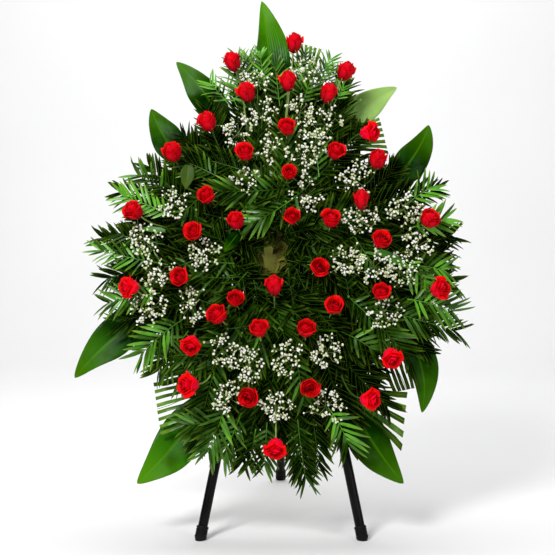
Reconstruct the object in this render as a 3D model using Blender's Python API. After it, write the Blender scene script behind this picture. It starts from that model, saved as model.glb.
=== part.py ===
"""Funeral wreath of red roses, gypsophila, palm and aspidistra, tied to a folding easel.

Lengths are millimetres in the wreath's own leaning plane: u to the right, v up the slope and
w out of the wreath towards the viewer, from the centre of the straw ring. Each finished mesh
is then moved into world space, in metres, with the feet on the floor and the front facing -Y.
"""

import math
import random

import bmesh
import bpy
from mathutils import Matrix, Vector
from mathutils.kdtree import KDTree

# Placing
MM = 0.001
LEAN = math.radians(12.0)
RING_HEIGHT = 714.0
SHIFT_X = -0.7
SHIFT_Y = -196.7
GAP = 0.3

# Straw ring
RING_RADIUS = 195.0
RING_HALF_WIDTH = 72.0
RING_HALF_DEPTH = 35.0
RING_SEGMENTS = 24
RING_SIDES = 8
STUB_FLOOR = 7.0

# Easel
EASEL_U = 24.0
TUBE = 12.5
TUBE_WALL = 1.5
TUBE_SIDES = 12
LEG_W = -52.0
LEG_TOP_V = 257.0
LEG_TOP_HALF = 15.5
LEG_SLOPE = 0.199
LEG_SLOPE_V = 250.0
HEAD_HALF = 38.0
HEAD_LOW, HEAD_HIGH = 210.0, 276.0
HEAD_BACK, HEAD_FRONT = -68.0, -36.6
LUG_INNER, LUG_OUTER = 13.5, 19.5
LUG_BACK = -103.0
PIN_V, PIN_W, PIN_RADIUS = 250.0, -89.0, 4.0
REAR_FOOT_Y = 612.0
CAP_RADIUS, CAP_NECK, CAP_HEIGHT, CAP_BORE_FLOOR = 16.0, 14.6, 36.0, 13.0
STRAP_V, STRAP_HALF_HEIGHT, STRAP_THICK = -332.0, 9.0, 4.0
TIE_V, TIE_WIRE = -165.0, 1.6

# Foliage levels above the ring's middle plane
LOWEST_FROND = 42.0
FROND_PITCH = 7.5
FROND_LAYERS = 9
TOP = LOWEST_FROND + FROND_PITCH * (FROND_LAYERS - 1)
SPRAY_LEVEL = TOP + 3.6
STEM_LEVEL = TOP + 9.2
ROSE_LEVEL = TOP + 41.0
HUB_LEVEL = TOP + 20.0
BLADE = 1.0

# Opening kept clear through the wreath: world x, then world height
OPENING_X = (-27.0, 10.5)
OPENING_Z = (688.0, 750.0)

# Roses: u, v, heading of the bloom round the face, lean of the bloom away from the viewer
ROSES = (
    (57, 562, 84, 60), (-105, 506, 112, 55), (190, 481, 58, 55), (41, 449, 90, 32),
    (-67, 418, 112, 34), (145, 416, 68, 30), (-164, 333, 128, 34), (38, 317, 88, 16),
    (246, 307, 45, 34), (-68, 250, 110, 20), (160, 254, 60, 20), (-252, 253, 134, 50),
    (43, 198, 85, 10), (267, 234, 38, 32), (-164, 139, 140, 26), (224, 128, 88, 62),
    (-347, 102, 164, 48), (-90, 74, 130, 12), (50, 85, 85, 10), (148, 82, 55, 16),
    (-195, 46, 168, 26), (273, 29, 18, 28), (396, 83, 18, 48), (117, -42, 0, 10),
    (-228, -67, 182, 24), (-353, -91, 184, 52), (5, -90, 92, 58), (271, -105, -22, 26),
    (418, -94, -10, 48), (-91, -122, -132, 14), (-135, -162, -140, 20), (154, -140, -45, 20),
    (-32, -197, -98, 14), (84, -197, -68, 16), (-199, -233, -118, 42), (296, -264, -58, 44),
    (-203, -333, -165, 46), (-58, -362, -100, 28), (94, -340, -76, 28), (240, -369, -45, 42),
    (5, -482, -92, 52),
)
ROSE_BUNCHES = (
    (1, 4, 8, 13), (3, 6, 9, 11), (2, 5, 10), (7, 12, 15), (14, 16, 20), (17, 21), (25, 26),
    (18, 19), (22, 23, 24), (28, 29, 32), (30, 31, 27), (33, 34, 41), (35, 37, 38),
    (36, 40, 39),
)

# Gypsophila: the centre of each cluster, by spray
SPRAYS = (
    ((-39, 451), (-26, 360), (-87, 316), (0, 270), (-63, 191)),
    ((93, 475), (72, 372), (141, 334), (110, 284), (84, 240), (88, 150)),
    ((210, 192), (229, 82), (336, 116)),
    ((367, 19), (190, -21), (257, -36), (322, -45)),
    ((281, -152), (138, -250), (135, -385)),
    ((-123, -243), (-66, -287), (-110, -360), (10, -385), (37, -267)),
    ((-284, -56), (-303, -140), (-203, -134)),
    ((-250, 127), (-324, 31), (-167, -1)),
)

# Palm bunches round the ring: angle of the stub, the lengths of the frond clockwise of radial
# and of the one anticlockwise of it, and the reach of their leaflets
PALM_RADIUS = 222.0
PALM_BUNCHES = (
    (0, 246, 244, 78), (30, 235, 160, 72), (60, 178, 264, 72), (90, 310, 280, 76),
    (120, 205, 164, 72), (150, 168, 202, 72), (180, 220, 205, 76), (210, 200, 164, 74),
    (240, 170, 282, 78), (270, 300, 325, 80), (300, 295, 255, 78), (330, 196, 282, 78),
)
PALM_SPREAD = 11.0
INNER_LENGTH, INNER_TURN, INNER_REACH = 112.0, 122.0, 54.0

# Trimmed palm fans: ring angle, level, middle of the cut edge, length of the cut edge
FANS = (
    (77, -10.0, (120, 562), 74), (49, -9.0, (302, 346), 96), (-124, -9.0, (-249, -365), 104),
    (-38, -12.0, (312, -302), 74), (-52, -6.0, (330, -392), 104),
)

# Aspidistra leaves: ring angle, start of the blade, tip, width, sideways bow, level
LEAVES = (
    (91, (7, 420), (-28, 711), 58, 10, -25), (114, (-126, 352), (-258, 542), 84, 8, -25),
    (136, (-232, 262), (-323, 412), 78, -16, -26), (60, (168, 330), (334, 471), 60, 10, -25),
    (33, (306, 208), (417, 368), 78, 12, -26), (203, (-297, -120), (-509, -305), 92, 14, -26),
    (-25, (316, -160), (386, -394), 72, 26, -25), (-119, (-166, -360), (-343, -574), 80, -18, -24),
    (-60, (190, -352), (334, -574), 68, 16, -24),
)

FINISHES = {
    "black_enamel": ((0.018, 0.018, 0.02), 0.35, 0.6),
    "black_rubber": ((0.03, 0.03, 0.03), 0.8, 0.0),
    "zinc": ((0.6, 0.6, 0.58), 0.35, 1.0),
    "straw": ((0.46, 0.36, 0.16), 0.85, 0.0),
    "red_petal": ((0.68, 0.006, 0.012), 0.55, 0.0),
    "palm": ((0.03, 0.11, 0.025), 0.45, 0.0),
    "aspidistra": ((0.07, 0.22, 0.03), 0.4, 0.0),
    "gypsophila": ((0.84, 0.84, 0.74), 0.7, 0.0),
}

rng = random.Random(27)


def plane_matrix():
    """The wreath's leaning plane, in world space."""
    turn = Matrix(((MM, 0, 0, 0), (0, 0, -MM, 0), (0, MM, 0, 0), (0, 0, 0, 1)))
    place = Matrix.Translation((SHIFT_X * MM, SHIFT_Y * MM, RING_HEIGHT * MM))
    return place @ Matrix.Rotation(-LEAN, 4, "X") @ turn


PLANE = plane_matrix()
UNSHIFTED = Matrix.Translation((-SHIFT_X * MM, -SHIFT_Y * MM, 0)) @ PLANE


def from_floor(x, y, z):
    """A point given in millimetres over the floor, as u, v, w."""
    return UNSHIFTED.inverted() @ Vector((x * MM, y * MM, z * MM))


def height_of(point):
    """Height over the floor and sideways place of a point in the plane's terms."""
    return (UNSHIFTED @ point) / MM


def drop(u, v):
    """How far the dome of foliage has fallen back at this place."""
    return 50.0 * (max(math.hypot(u, v) - 250.0, 0.0) / 300.0) ** 1.5


def on_dome(u, v, level):
    return Vector((u, v, level - drop(u, v)))


def polar(radius, degrees):
    return Vector((radius * math.cos(math.radians(degrees)), radius * math.sin(math.radians(degrees))))


def in_opening(point, margin):
    world = height_of(point)
    return (
        OPENING_X[0] - margin < world.x < OPENING_X[1] + margin
        and OPENING_Z[0] - margin < world.z < OPENING_Z[1] + margin
    )


# Closed shapes, each a list of points and a list of faces


def basis_of(axis):
    reference = Vector((0, 0, 1)) if abs(axis.z) < 0.9 else Vector((1, 0, 0))
    side = axis.cross(reference).normalized()
    return side, side.cross(axis).normalized()


def sweep(points, radii, sides):
    """A closed tube through points; a radius of 0 at an end makes a tip."""
    verts, faces, rings = [], [], []
    side = basis_of((points[1] - points[0]).normalized())[0]
    for i, point in enumerate(points):
        ahead = (points[min(i + 1, len(points) - 1)] - points[max(i - 1, 0)]).normalized()
        side = (side - ahead * side.dot(ahead)).normalized()
        other = side.cross(ahead)
        if radii[i] == 0:
            rings.append([len(verts)])
            verts.append(point.copy())
            continue
        ring = []
        for k in range(sides):
            turn = 2 * math.pi * k / sides
            ring.append(len(verts))
            verts.append(point + radii[i] * (math.cos(turn) * side + math.sin(turn) * other))
        rings.append(ring)
    join_rings(rings, faces)
    for ring in (rings[0], rings[-1]):
        if len(ring) > 1:
            faces.append(tuple(ring))
    return verts, faces


def join_rings(rings, faces):
    for low, high in zip(rings, rings[1:]):
        count = max(len(low), len(high))
        for k in range(count):
            n = (k + 1) % count
            if len(low) == 1:
                faces.append((low[0], high[n], high[k]))
            elif len(high) == 1:
                faces.append((low[k], low[n], high[0]))
            else:
                faces.append((low[k], low[n], high[n], high[k]))


def revolve(profile, start, axis, sides, on_floor=False):
    """A closed shape turned about an axis, from (along, radius) pairs; its foot can be level."""
    verts, faces, rings = [], [], []
    side, other = basis_of(axis)
    for along, radius in profile:
        ring = []
        for k in range(1 if radius == 0 else sides):
            turn = 2 * math.pi * k / sides
            point = start + along * axis + radius * (math.cos(turn) * side + math.sin(turn) * other)
            if on_floor and along == 0:
                point -= axis * (height_of(point).z / (height_of(point + axis).z - height_of(point).z))
            ring.append(len(verts))
            verts.append(point)
        rings.append(ring)
    join_rings(rings, faces)
    for ring in (rings[0], rings[-1]):
        if len(ring) > 1:
            faces.append(tuple(ring))
    return verts, faces


def box(low, high):
    verts = [Vector((x, y, z)) for x in (low[0], high[0]) for y in (low[1], high[1]) for z in (low[2], high[2])]
    faces = [(0, 1, 3, 2), (4, 6, 7, 5), (0, 4, 5, 1), (2, 3, 7, 6), (0, 2, 6, 4), (1, 5, 7, 3)]
    return verts, faces


def slab(points, triangles, thickness):
    """A thin sheet given a thickness along w; both faces have the same triangles."""
    count = len(points)
    half = [Vector((0, 0, t / 2)) for t in thickness]
    verts = [p + h for p, h in zip(points, half)] + [p - h for p, h in zip(points, half)]
    faces, open_edges = [], {}
    for a, b, c in triangles:
        faces += [(a, b, c), (c + count, b + count, a + count)]
        for edge in ((a, b), (b, c), (c, a)):
            if edge[::-1] in open_edges:
                del open_edges[edge[::-1]]
            else:
                open_edges[edge] = True
    for i, j in open_edges:
        faces.append((j, i, i + count, j + count))
    return verts, faces


# Objects


def finish_of(name):
    colour, roughness, metallic = FINISHES[name]
    made = bpy.data.materials.get(name)
    if made is None:
        made = bpy.data.materials.new(name)
        made.use_nodes = True
        shader = made.node_tree.nodes["Principled BSDF"]
        shader.inputs["Base Color"].default_value = (*colour, 1.0)
        shader.inputs["Roughness"].default_value = roughness
        shader.inputs["Metallic"].default_value = metallic
        made.diffuse_color = (*colour, 1.0)
    return made


def mesh_object(name, solid):
    mesh = bpy.data.meshes.new(name)
    mesh.from_pydata([tuple(v) for v in solid[0]], [], solid[1])
    work = bmesh.new()
    work.from_mesh(mesh)
    bmesh.ops.recalc_face_normals(work, faces=work.faces)
    work.to_mesh(mesh)
    work.free()
    return bpy.data.objects.new(name, mesh)


def boolean(obj, solids, operation, solver):
    group = bpy.data.collections.new(obj.name + "_helpers")
    for i, solid in enumerate(solids):
        group.objects.link(mesh_object(f"{obj.name}_helper_{i}", solid))
    modifier = obj.modifiers.new("helpers", "BOOLEAN")
    modifier.operand_type = "COLLECTION"
    modifier.collection = group
    modifier.operation = operation
    modifier.solver = solver
    graph = bpy.context.evaluated_depsgraph_get()
    graph.update()
    made = bpy.data.meshes.new_from_object(obj.evaluated_get(graph))
    obj.modifiers.clear()
    obj.data = made
    for helper in list(group.objects):
        bpy.data.objects.remove(helper)
    bpy.data.collections.remove(group)


def build(name, finish, solids, holes=(), solver="MANIFOLD"):
    """One node: the solids made one body, less the holes, and moved into world space."""
    obj = mesh_object(name, solids[0])
    bpy.context.scene.collection.objects.link(obj)
    if len(solids) > 1:
        boolean(obj, solids[1:], "UNION", solver)
    if holes:
        boolean(obj, holes, "DIFFERENCE", solver)
    obj.data.transform(PLANE)
    obj.data.materials.clear()
    obj.data.materials.append(finish_of(finish))
    return obj


class KeepOut:
    """Round things that foliage has to miss, as points with a radius each."""

    def __init__(self):
        self.points, self.tree = [], None

    def add_line(self, points, radius, owner=None):
        for start, end in zip(points, points[1:]):
            steps = max(1, int((end - start).length / 4))
            for i in range(steps + 1):
                self.points.append((start.lerp(end, i / steps), radius, owner))
        self.tree = None

    def blocked(self, point, radius, owner=None):
        if self.tree is None:
            self.tree = KDTree(len(self.points))
            for i, entry in enumerate(self.points):
                self.tree.insert(entry[0], i)
            self.tree.balance()
            self.widest = max(entry[1] for entry in self.points)
        for _, index, distance in self.tree.find_range(point, self.widest + radius):
            _, size, who = self.points[index]
            if distance < size + radius and (owner is None or who != owner):
                return True
        return False


# Palm


def rib_of(start, heading, length, bend, steps):
    """Points along a rib that turns by bend degrees over its length."""
    points = [start.copy()]
    for i in range(steps):
        turn = math.radians(heading + bend * (i + 0.5) / steps)
        points.append(points[-1] + Vector((math.cos(turn), math.sin(turn))) * length / steps)
    return points


def frond(start, heading, length, bend, reach, level, keep, owner):
    """One palm frond as a comb outline laid on the dome."""
    pairs = max(3, round(length / 46))
    rib = rib_of(start, heading, length, bend, 24)

    def place(along, side):
        spot = along / length * 24
        i = min(int(spot), 23)
        ahead = (rib[i + 1] - rib[i]).normalized()
        return rib[i].lerp(rib[i + 1], spot - i) + side * Vector((-ahead.y, ahead.x)), ahead

    flat, triangles = [], []
    clear = 26.0
    spacing = (length - clear) / pairs
    stations = [-5.0]
    for k in range(pairs):
        stations += [clear + k * spacing, clear + k * spacing + 5.0]
    stations.append(length)
    for i, along in enumerate(stations):
        half = 2.2 - 1.2 * max(along, 0) / length
        for side in (half, -half):
            base = place(max(along, 0.0), side)
            flat.append(base[0] + base[1] * min(along, 0.0))
        if i:
            a, b, c, d = 2 * i - 2, 2 * i - 1, 2 * i, 2 * i + 1
            triangles += [(a, b, d), (a, d, c)]
    for k in range(pairs):
        grow = (k + 0.5) / pairs
        size = reach * (0.5 + 1.0 * grow) if grow < 0.5 else reach * (1.22 - 0.44 * grow)
        for sign in (1, -1):
            first = 2 * (1 + 2 * k) + (0 if sign > 0 else 1)
            second = first + 2
            _, ahead = place(stations[1 + 2 * k], 0)
            out = Vector((-ahead.y, ahead.x)) * sign
            lean = math.radians(54 - 24 * grow + rng.uniform(-4, 4))
            along = (math.cos(lean) * ahead + math.sin(lean) * out).normalized()
            rear = Vector((-along.y, along.x)) * sign
            long = size * rng.uniform(0.92, 1.06)
            tip = flat[first] + along * long
            wide = flat[first] + along * long * 0.42 + rear * 8.0
            probe = [flat[first] + along * long * f for f in (0.15, 0.3, 0.45, 0.6, 0.75, 0.9, 1.0)]
            lifted = [on_dome(p.x, p.y, level) for p in probe]
            if any(keep.blocked(p, 6.5, owner) or in_opening(p, 7) for p in lifted):
                continue
            i = len(flat)
            if reach < 60:
                flat.append(tip)
                triangles.append((first, second, i))
                continue
            flat += [tip, wide]
            if sign > 0:
                triangles += [(first, second, i), (first, i, i + 1)]
            else:
                triangles += [(second, first, i), (first, i + 1, i)]
    last = 2 * (len(stations) - 1)
    end, ahead = place(length, 0)
    i = len(flat)
    flat.append(end + ahead * reach * 0.62)
    triangles.append((last, last + 1, i))
    triangles = [t if turned(flat, t) > 0 else t[::-1] for t in triangles]
    points = [on_dome(p.x, p.y, level) for p in flat]
    return slab(points, triangles, [BLADE] * len(points))


def turned(flat, t):
    a, b, c = (flat[i] for i in t)
    return (b.x - a.x) * (c.y - a.y) - (b.y - a.y) * (c.x - a.x)


def palm_plan():
    """Start, heading, length, bend, reach and level of each frond, bunch by bunch."""
    plan = []
    for i, (angle, clockwise, other, reach) in enumerate(PALM_BUNCHES):
        stub = polar(PALM_RADIUS, angle)
        group = LOWEST_FROND + FROND_PITCH * 3 * (i % 3)
        plan.append((stub, [
            (angle + PALM_SPREAD, other, 6.0, reach, group),
            (angle - PALM_SPREAD, clockwise, -6.0, reach, group + FROND_PITCH),
            (angle + INNER_TURN, INNER_LENGTH, 30.0, INNER_REACH, group + 2 * FROND_PITCH),
        ]))
    return plan


def rib_lines(plan):
    lines = []
    for stub, fronds in plan:
        for heading, length, bend, _, _ in fronds:
            lines.append(rib_of(stub, heading, length, bend, 24))
    return lines


def trunk_place(target, lines, taken):
    """A place on the ring near target, clear of ribs, stubs and other trunks."""
    best, found = None, None
    for radius in range(142, 250, 4):
        for step in range(-60, 61, 2):
            spot = polar(radius, math.degrees(math.atan2(target.y, target.x)) + step)
            if in_opening(Vector((spot.x, spot.y, 60)), 10):
                continue
            near = min((spot - p).length for line in lines for p in line)
            other = min([(spot - p).length for p in taken] or [99])
            if near < 9.5 or other < 17:
                continue
            cost = (spot - target).length
            if best is None or cost < best:
                best, found = cost, spot
    return found


# Blooms

ROSE_RINGS = (
    (-24, 6, 0.0, 0), (-5, 25, 0.05, 0), (13, 30, 0.17, 0), (5, 20.5, 0.0, 0),
    (22, 19.5, 0.2, 1), (13, 10.5, 0.0, 1), (24, 8.5, 0.22, 0),
)
ROSE_SIDES = 7


def rose_axis(heading, lean):
    tilt, turn = math.radians(lean), math.radians(heading)
    return Vector((math.sin(tilt) * math.cos(turn), math.sin(tilt) * math.sin(turn), math.cos(tilt)))


def rose_head(centre, axis, spin, size):
    """Two rows of lobed petals round a bud."""
    side, other = basis_of(axis)
    verts, faces, rings = [], [], []
    for level, radius, lobe, phase in ROSE_RINGS:
        ring = []
        for k in range(ROSE_SIDES):
            turn = 2 * math.pi * (k + spin) / ROSE_SIDES
            notch = 1 - lobe * ((k + phase) % 2)
            ring.append(len(verts))
            lift = level - (3.0 * ((k + phase) % 2) if lobe > 0.1 else 0.0)
            verts.append(centre + size * (lift * axis + radius * notch
                                          * (math.cos(turn) * side + math.sin(turn) * other)))
        rings.append(ring)
    rings.append([len(verts)])
    verts.append(centre + size * 18 * axis)
    join_rings(rings, faces)
    faces.append(tuple(rings[0]))
    return verts, faces


def stem_line(trunk, foot, back, bow):
    """A stem from the top of its trunk along the dome to the foot of a bloom, bowed sideways."""
    under = Vector((back.x, back.y))
    gap = under - trunk
    points = [on_dome(trunk.x, trunk.y, STEM_LEVEL)]
    steps = max(1, round(gap.length / 80)) + (1 if bow and gap.length < 120 else 0)
    if gap.length > 14:
        aside = Vector((-gap.y, gap.x)).normalized() * bow
        for k in range(1, steps):
            f = k / steps
            spot = trunk + gap * f + aside * math.sin(math.pi * f)
            points.append(on_dome(spot.x, spot.y, STEM_LEVEL))
        points.append(Vector((under.x, under.y, max(on_dome(under.x, under.y, STEM_LEVEL).z, back.z - 6))))
    points.append(foot)
    return points


def clear_stem(trunk, centre, axis, keep, owner):
    """The straightest stem that misses the other blooms, trunks and stems."""
    foot, back = centre - axis * 21, centre - axis * 36
    for bow in (0, 14, -14, 26, -26, 38, -38, 52, -52):
        line = stem_line(trunk, foot, back, bow)
        tests = [a.lerp(b, f / 8) for a, b in zip(line, line[1:]) for f in range(9)]
        if not any(keep.blocked(p, 2.7, owner) for p in tests if (p - centre).length > 36):
            return line
    return stem_line(trunk, foot, back, 0)


def rose_plan(lines, taken, keep):
    bunches = []
    for number, bunch in enumerate(ROSE_BUNCHES):
        blooms = []
        for rose in bunch:
            u, v, heading, lean = ROSES[rose - 1]
            blooms.append((on_dome(u, v, ROSE_LEVEL), rose_axis(heading, lean), rose))
        middle = sum((Vector((c.x, c.y)) for c, _, _ in blooms), Vector((0, 0))) / len(blooms)
        target = middle.normalized() * min(max(middle.length, 150), 236)
        trunk = trunk_place(target, lines, taken)
        taken.append(trunk)
        bunches.append((trunk, blooms))
        post = [Vector((trunk.x, trunk.y, STUB_FLOOR)), Vector((trunk.x, trunk.y, STEM_LEVEL + 4))]
        keep.add_line(post, 4.0, f"rose{number}")
        for centre, axis, _ in blooms:
            for along, radius in ((-20, 8), (-13, 16), (-6, 24), (3, 28), (12, 30.5), (18, 27)):
                spot = centre + axis * along
                keep.add_line([spot, spot + axis], radius)
    plan = []
    for number, (trunk, blooms) in enumerate(bunches):
        stems = []
        for centre, axis, _ in blooms:
            line = clear_stem(trunk, centre, axis, keep, f"rose{number}")
            stems.append(line)
        for line in stems:
            keep.add_line(line, 2.2, f"rose{number}")
        plan.append((trunk, blooms, stems))
    return plan


# Gypsophila


def spray_plan(lines, taken, keep):
    plan = []
    for number, spray in enumerate(SPRAYS):
        owner = f"spray{number}"
        middle = sum((Vector(c) for c in spray), Vector((0, 0))) / len(spray)
        target = middle.normalized() * min(max(middle.length, 150), 236)
        trunk = trunk_place(target, lines, taken)
        taken.append(trunk)
        branches = []
        for cluster in spray:
            spot = clear_hub(Vector(cluster), keep)
            hub = on_dome(spot.x, spot.y, HUB_LEVEL)
            steps = max(1, round((spot - trunk).length / 100))
            line = [on_dome(trunk.x, trunk.y, SPRAY_LEVEL)]
            for k in range(1, steps + 1):
                step = trunk.lerp(spot, k / steps)
                line.append(on_dome(step.x, step.y, SPRAY_LEVEL))
            tips = []
            for k in range(7):
                tips.append(None if k in (number % 6, (number + 3) % 6) else floret_tip(hub, k, owner, keep))
                if tips[-1]:
                    keep.add_line([hub.lerp(tips[-1], 0.75), tips[-1]], 4.4)
            branches.append((line, hub, tips))
        for line, _, _ in branches:
            keep.add_line(line, 1.4, owner)
        plan.append((trunk, branches))
    return plan


def floret_tip(hub, k, owner, keep):
    """A free place for floret k of a cluster: six round the hub, then one on top."""
    for attempt in range(40):
        spread = 0.0 if k == 6 else 13 + 2.2 * (attempt % 8) + 3 * (k % 2)
        turn = math.radians(60 * k + (attempt // 8 - 2) * 9)
        lift = 24 - 4 * (attempt % 3) if k == 6 else 17 - 0.3 * spread + 5 * (k % 3)
        tip = hub + Vector((spread * math.cos(turn), spread * math.sin(turn), lift))
        line = [hub.lerp(tip, f) for f in (0.3, 0.45, 0.6)]
        bud = [hub.lerp(tip, f) for f in (0.75, 0.9, 1.0, 1.12)]
        if any(keep.blocked(p, 1.8, owner) for p in line) or any(keep.blocked(p, 5.0) for p in bud):
            continue
        if not any(in_opening(p, 6) for p in bud):
            return tip
    return None


def cluster(line, hub, tips):
    """A branch ending in a hub whose faces are drawn out into stalks with a floret each."""
    verts, faces = sweep(line + [hub - Vector((0, 0, 4))], [1.4] * (len(line) + 1), 3)
    faces.pop()
    base = list(range(len(verts) - 3, len(verts)))
    first = (verts[base[0]] - hub + Vector((0, 0, 4))).normalized()
    turn = math.atan2(first.y, first.x)
    hand = 1 if Vector((first.x, first.y)).cross(
        Vector((verts[base[1]].x - hub.x, verts[base[1]].y - hub.y))) > 0 else -1
    rings = []
    for level, phase in ((-2.5, 0.0), (2.0, math.pi / 3)):
        ring = []
        for k in range(3):
            at = turn + hand * (2 * math.pi * k / 3 + phase)
            ring.append(len(verts))
            verts.append(hub + Vector((2.4 * math.cos(at), 2.4 * math.sin(at), level)))
        rings.append(ring)
    join_rings([base, rings[0]], faces)
    low, high = rings
    sides = []
    for k in range(3):
        n = (k + 1) % 3
        sides += [(low[k], low[n], high[k]), (high[k], low[n], high[n])]
    sides.append(tuple(high))
    free = [t for t in tips[:6] if t is not None]
    for face in sides[:6]:
        middle = sum((verts[i] for i in face), Vector()) / 3
        away = Vector((middle.x - hub.x, middle.y - hub.y)).normalized()
        near = [t for t in free if Vector((t.x - hub.x, t.y - hub.y)).normalized().dot(away) > 0.8]
        if near:
            chosen = max(near, key=lambda t: Vector((t.x - hub.x, t.y - hub.y)).normalized().dot(away))
            free.remove(chosen)
            draw_floret(verts, faces, face, hub, chosen)
        else:
            faces.append(face)
    if tips[6] is not None:
        draw_floret(verts, faces, sides[6], hub, tips[6])
    else:
        faces.append(sides[6])
    return verts, faces


def draw_floret(verts, faces, face, hub, tip):
    away = (tip - hub).normalized()
    middle = sum((verts[i] for i in face), Vector()) / 3
    outs = []
    for i in face:
        out = verts[i] - middle
        outs.append((out - away * out.dot(away)).normalized())
    rings = [list(face)]
    for at, radius in ((hub.lerp(tip, 0.7), 0.8), (tip, 4.4)):
        rings.append(list(range(len(verts), len(verts) + 3)))
        verts.extend(at + out * radius for out in outs)
    rings.append([len(verts)])
    verts.append(tip + away * 3.6)
    join_rings(rings, faces)


def clear_hub(spot, keep):
    """The nearest place to spot where a hub and its riser miss every rose and stem."""
    for reach in range(0, 44, 3):
        for k in range(12):
            turn = 2 * math.pi * k / 12
            test = spot + Vector((reach * math.cos(turn), reach * math.sin(turn)))
            rise = HUB_LEVEL - SPRAY_LEVEL
            column = [on_dome(test.x, test.y, SPRAY_LEVEL + f * rise) for f in (0, 0.25, 0.5, 0.75, 1)]
            if not any(keep.blocked(p, 4.5) or in_opening(p, 6) for p in column):
                return test
    return spot


# Easel


def leg_line(sign):
    """Direction and floor point of a front leg's axis, in the plane's terms."""
    top = Vector((EASEL_U + sign * LEG_TOP_HALF, LEG_SLOPE_V, LEG_W))
    down = Vector((sign * LEG_SLOPE, -1.0, 0.0)).normalized()
    rate = (height_of(top + down).z - height_of(top).z)
    floor = top - down * (height_of(top).z / rate)
    return floor, -down


def foot_cap(name, floor, up):
    profile = (
        (0, CAP_RADIUS), (11, CAP_RADIUS), (14, CAP_NECK), (24, CAP_NECK), (27, CAP_RADIUS - 0.4),
        (CAP_HEIGHT, CAP_RADIUS - 0.4), (CAP_HEIGHT, TUBE + GAP), (CAP_BORE_FLOOR, TUBE + GAP),
    )
    build(name, "black_rubber", [revolve(profile, floor, up, TUBE_SIDES, True)])


def build_easel():
    bores = []
    for sign, side in ((-1, "left"), (1, "right")):
        floor, up = leg_line(sign)
        length = (LEG_TOP_V - floor.y) / up.y
        foot_cap(f"foot_cap_{side}", floor, up)
        low = CAP_BORE_FLOOR + GAP
        tube = ((length - GAP, TUBE), (low, TUBE), (low, TUBE - TUBE_WALL),
                (length - 12, TUBE - TUBE_WALL))
        build(f"front_leg_{side}", "black_enamel", [revolve(tube, floor, up, TUBE_SIDES)])
        bores.append(revolve(((length - 90, TUBE + GAP), (length, TUBE + GAP)), floor, up, TUBE_SIDES))
    across = Vector((1, 0, 0))
    lugs = []
    for sign in (-1, 1):
        low, high = sorted((EASEL_U + sign * LUG_INNER, EASEL_U + sign * LUG_OUTER))
        lugs.append(box((low, PIN_V - 15, LUG_BACK), (high, PIN_V + 15, HEAD_BACK + 4)))
    eye = revolve(((-60, PIN_RADIUS + GAP), (60, PIN_RADIUS + GAP)),
                  Vector((EASEL_U, PIN_V, PIN_W)), across, 10)
    body = box((EASEL_U - HEAD_HALF, HEAD_LOW, HEAD_BACK), (EASEL_U + HEAD_HALF, HEAD_HIGH, HEAD_FRONT))
    build("head", "black_enamel", [body] + lugs, bores + [eye])
    build("hinge_pin", "zinc", [revolve(
        ((-26, 7), (-20, 7), (-20, PIN_RADIUS), (20, PIN_RADIUS), (20, 7), (26, 7)),
        Vector((EASEL_U, PIN_V, PIN_W)), across, 10)])
    pin = Vector((EASEL_U, PIN_V, PIN_W))
    foot = from_floor(EASEL_U, REAR_FOOT_Y, 0)
    up = (pin - foot).normalized()
    length = (pin - foot).length + 14
    foot_cap("foot_cap_rear", foot, up)
    low = CAP_BORE_FLOOR + GAP
    tube = ((length, TUBE - 4), (length - 4, TUBE), (low, TUBE), (low, TUBE - TUBE_WALL),
            (length - 34, TUBE - TUBE_WALL))
    build("rear_leg", "black_enamel", [revolve(tube, foot, up, TUBE_SIDES)], [eye])
    half = LEG_TOP_HALF + LEG_SLOPE * (LEG_SLOPE_V - STRAP_V) + TUBE
    back = LEG_W - TUBE - GAP
    build("cross_strap", "black_enamel", [box(
        (EASEL_U - half, STRAP_V - STRAP_HALF_HEIGHT, back - STRAP_THICK),
        (EASEL_U + half, STRAP_V + STRAP_HALF_HEIGHT, back))])


def tie_lines():
    lines = []
    for sign in (-1, 1):
        _, up = leg_line(sign)
        centre = Vector((EASEL_U + sign * (LEG_TOP_HALF + LEG_SLOPE * (LEG_SLOPE_V - TIE_V)), TIE_V, 0))
        across = Vector((up.y, -up.x, 0))
        arm, back = TUBE + 2.6, LEG_W - TUBE - 2.4
        shape = ((-arm, -22), (-arm, back + 7), (-8, back), (8, back), (arm, back + 7), (arm, -22))
        lines.append([centre + across * a + Vector((0, 0, w)) for a, w in shape])
    return lines


# Leaves and fans


def leaf_line(angle, start, tip, bow):
    """From inside the ring out through its side to the blade's tip."""
    inner, outer = polar(232, angle), polar(284, angle)
    first, last = Vector(start), Vector(tip)
    middle = (first + last) / 2 + Vector((-(last - first).y, (last - first).x)).normalized() * bow
    return inner, outer, first, middle, last


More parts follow.
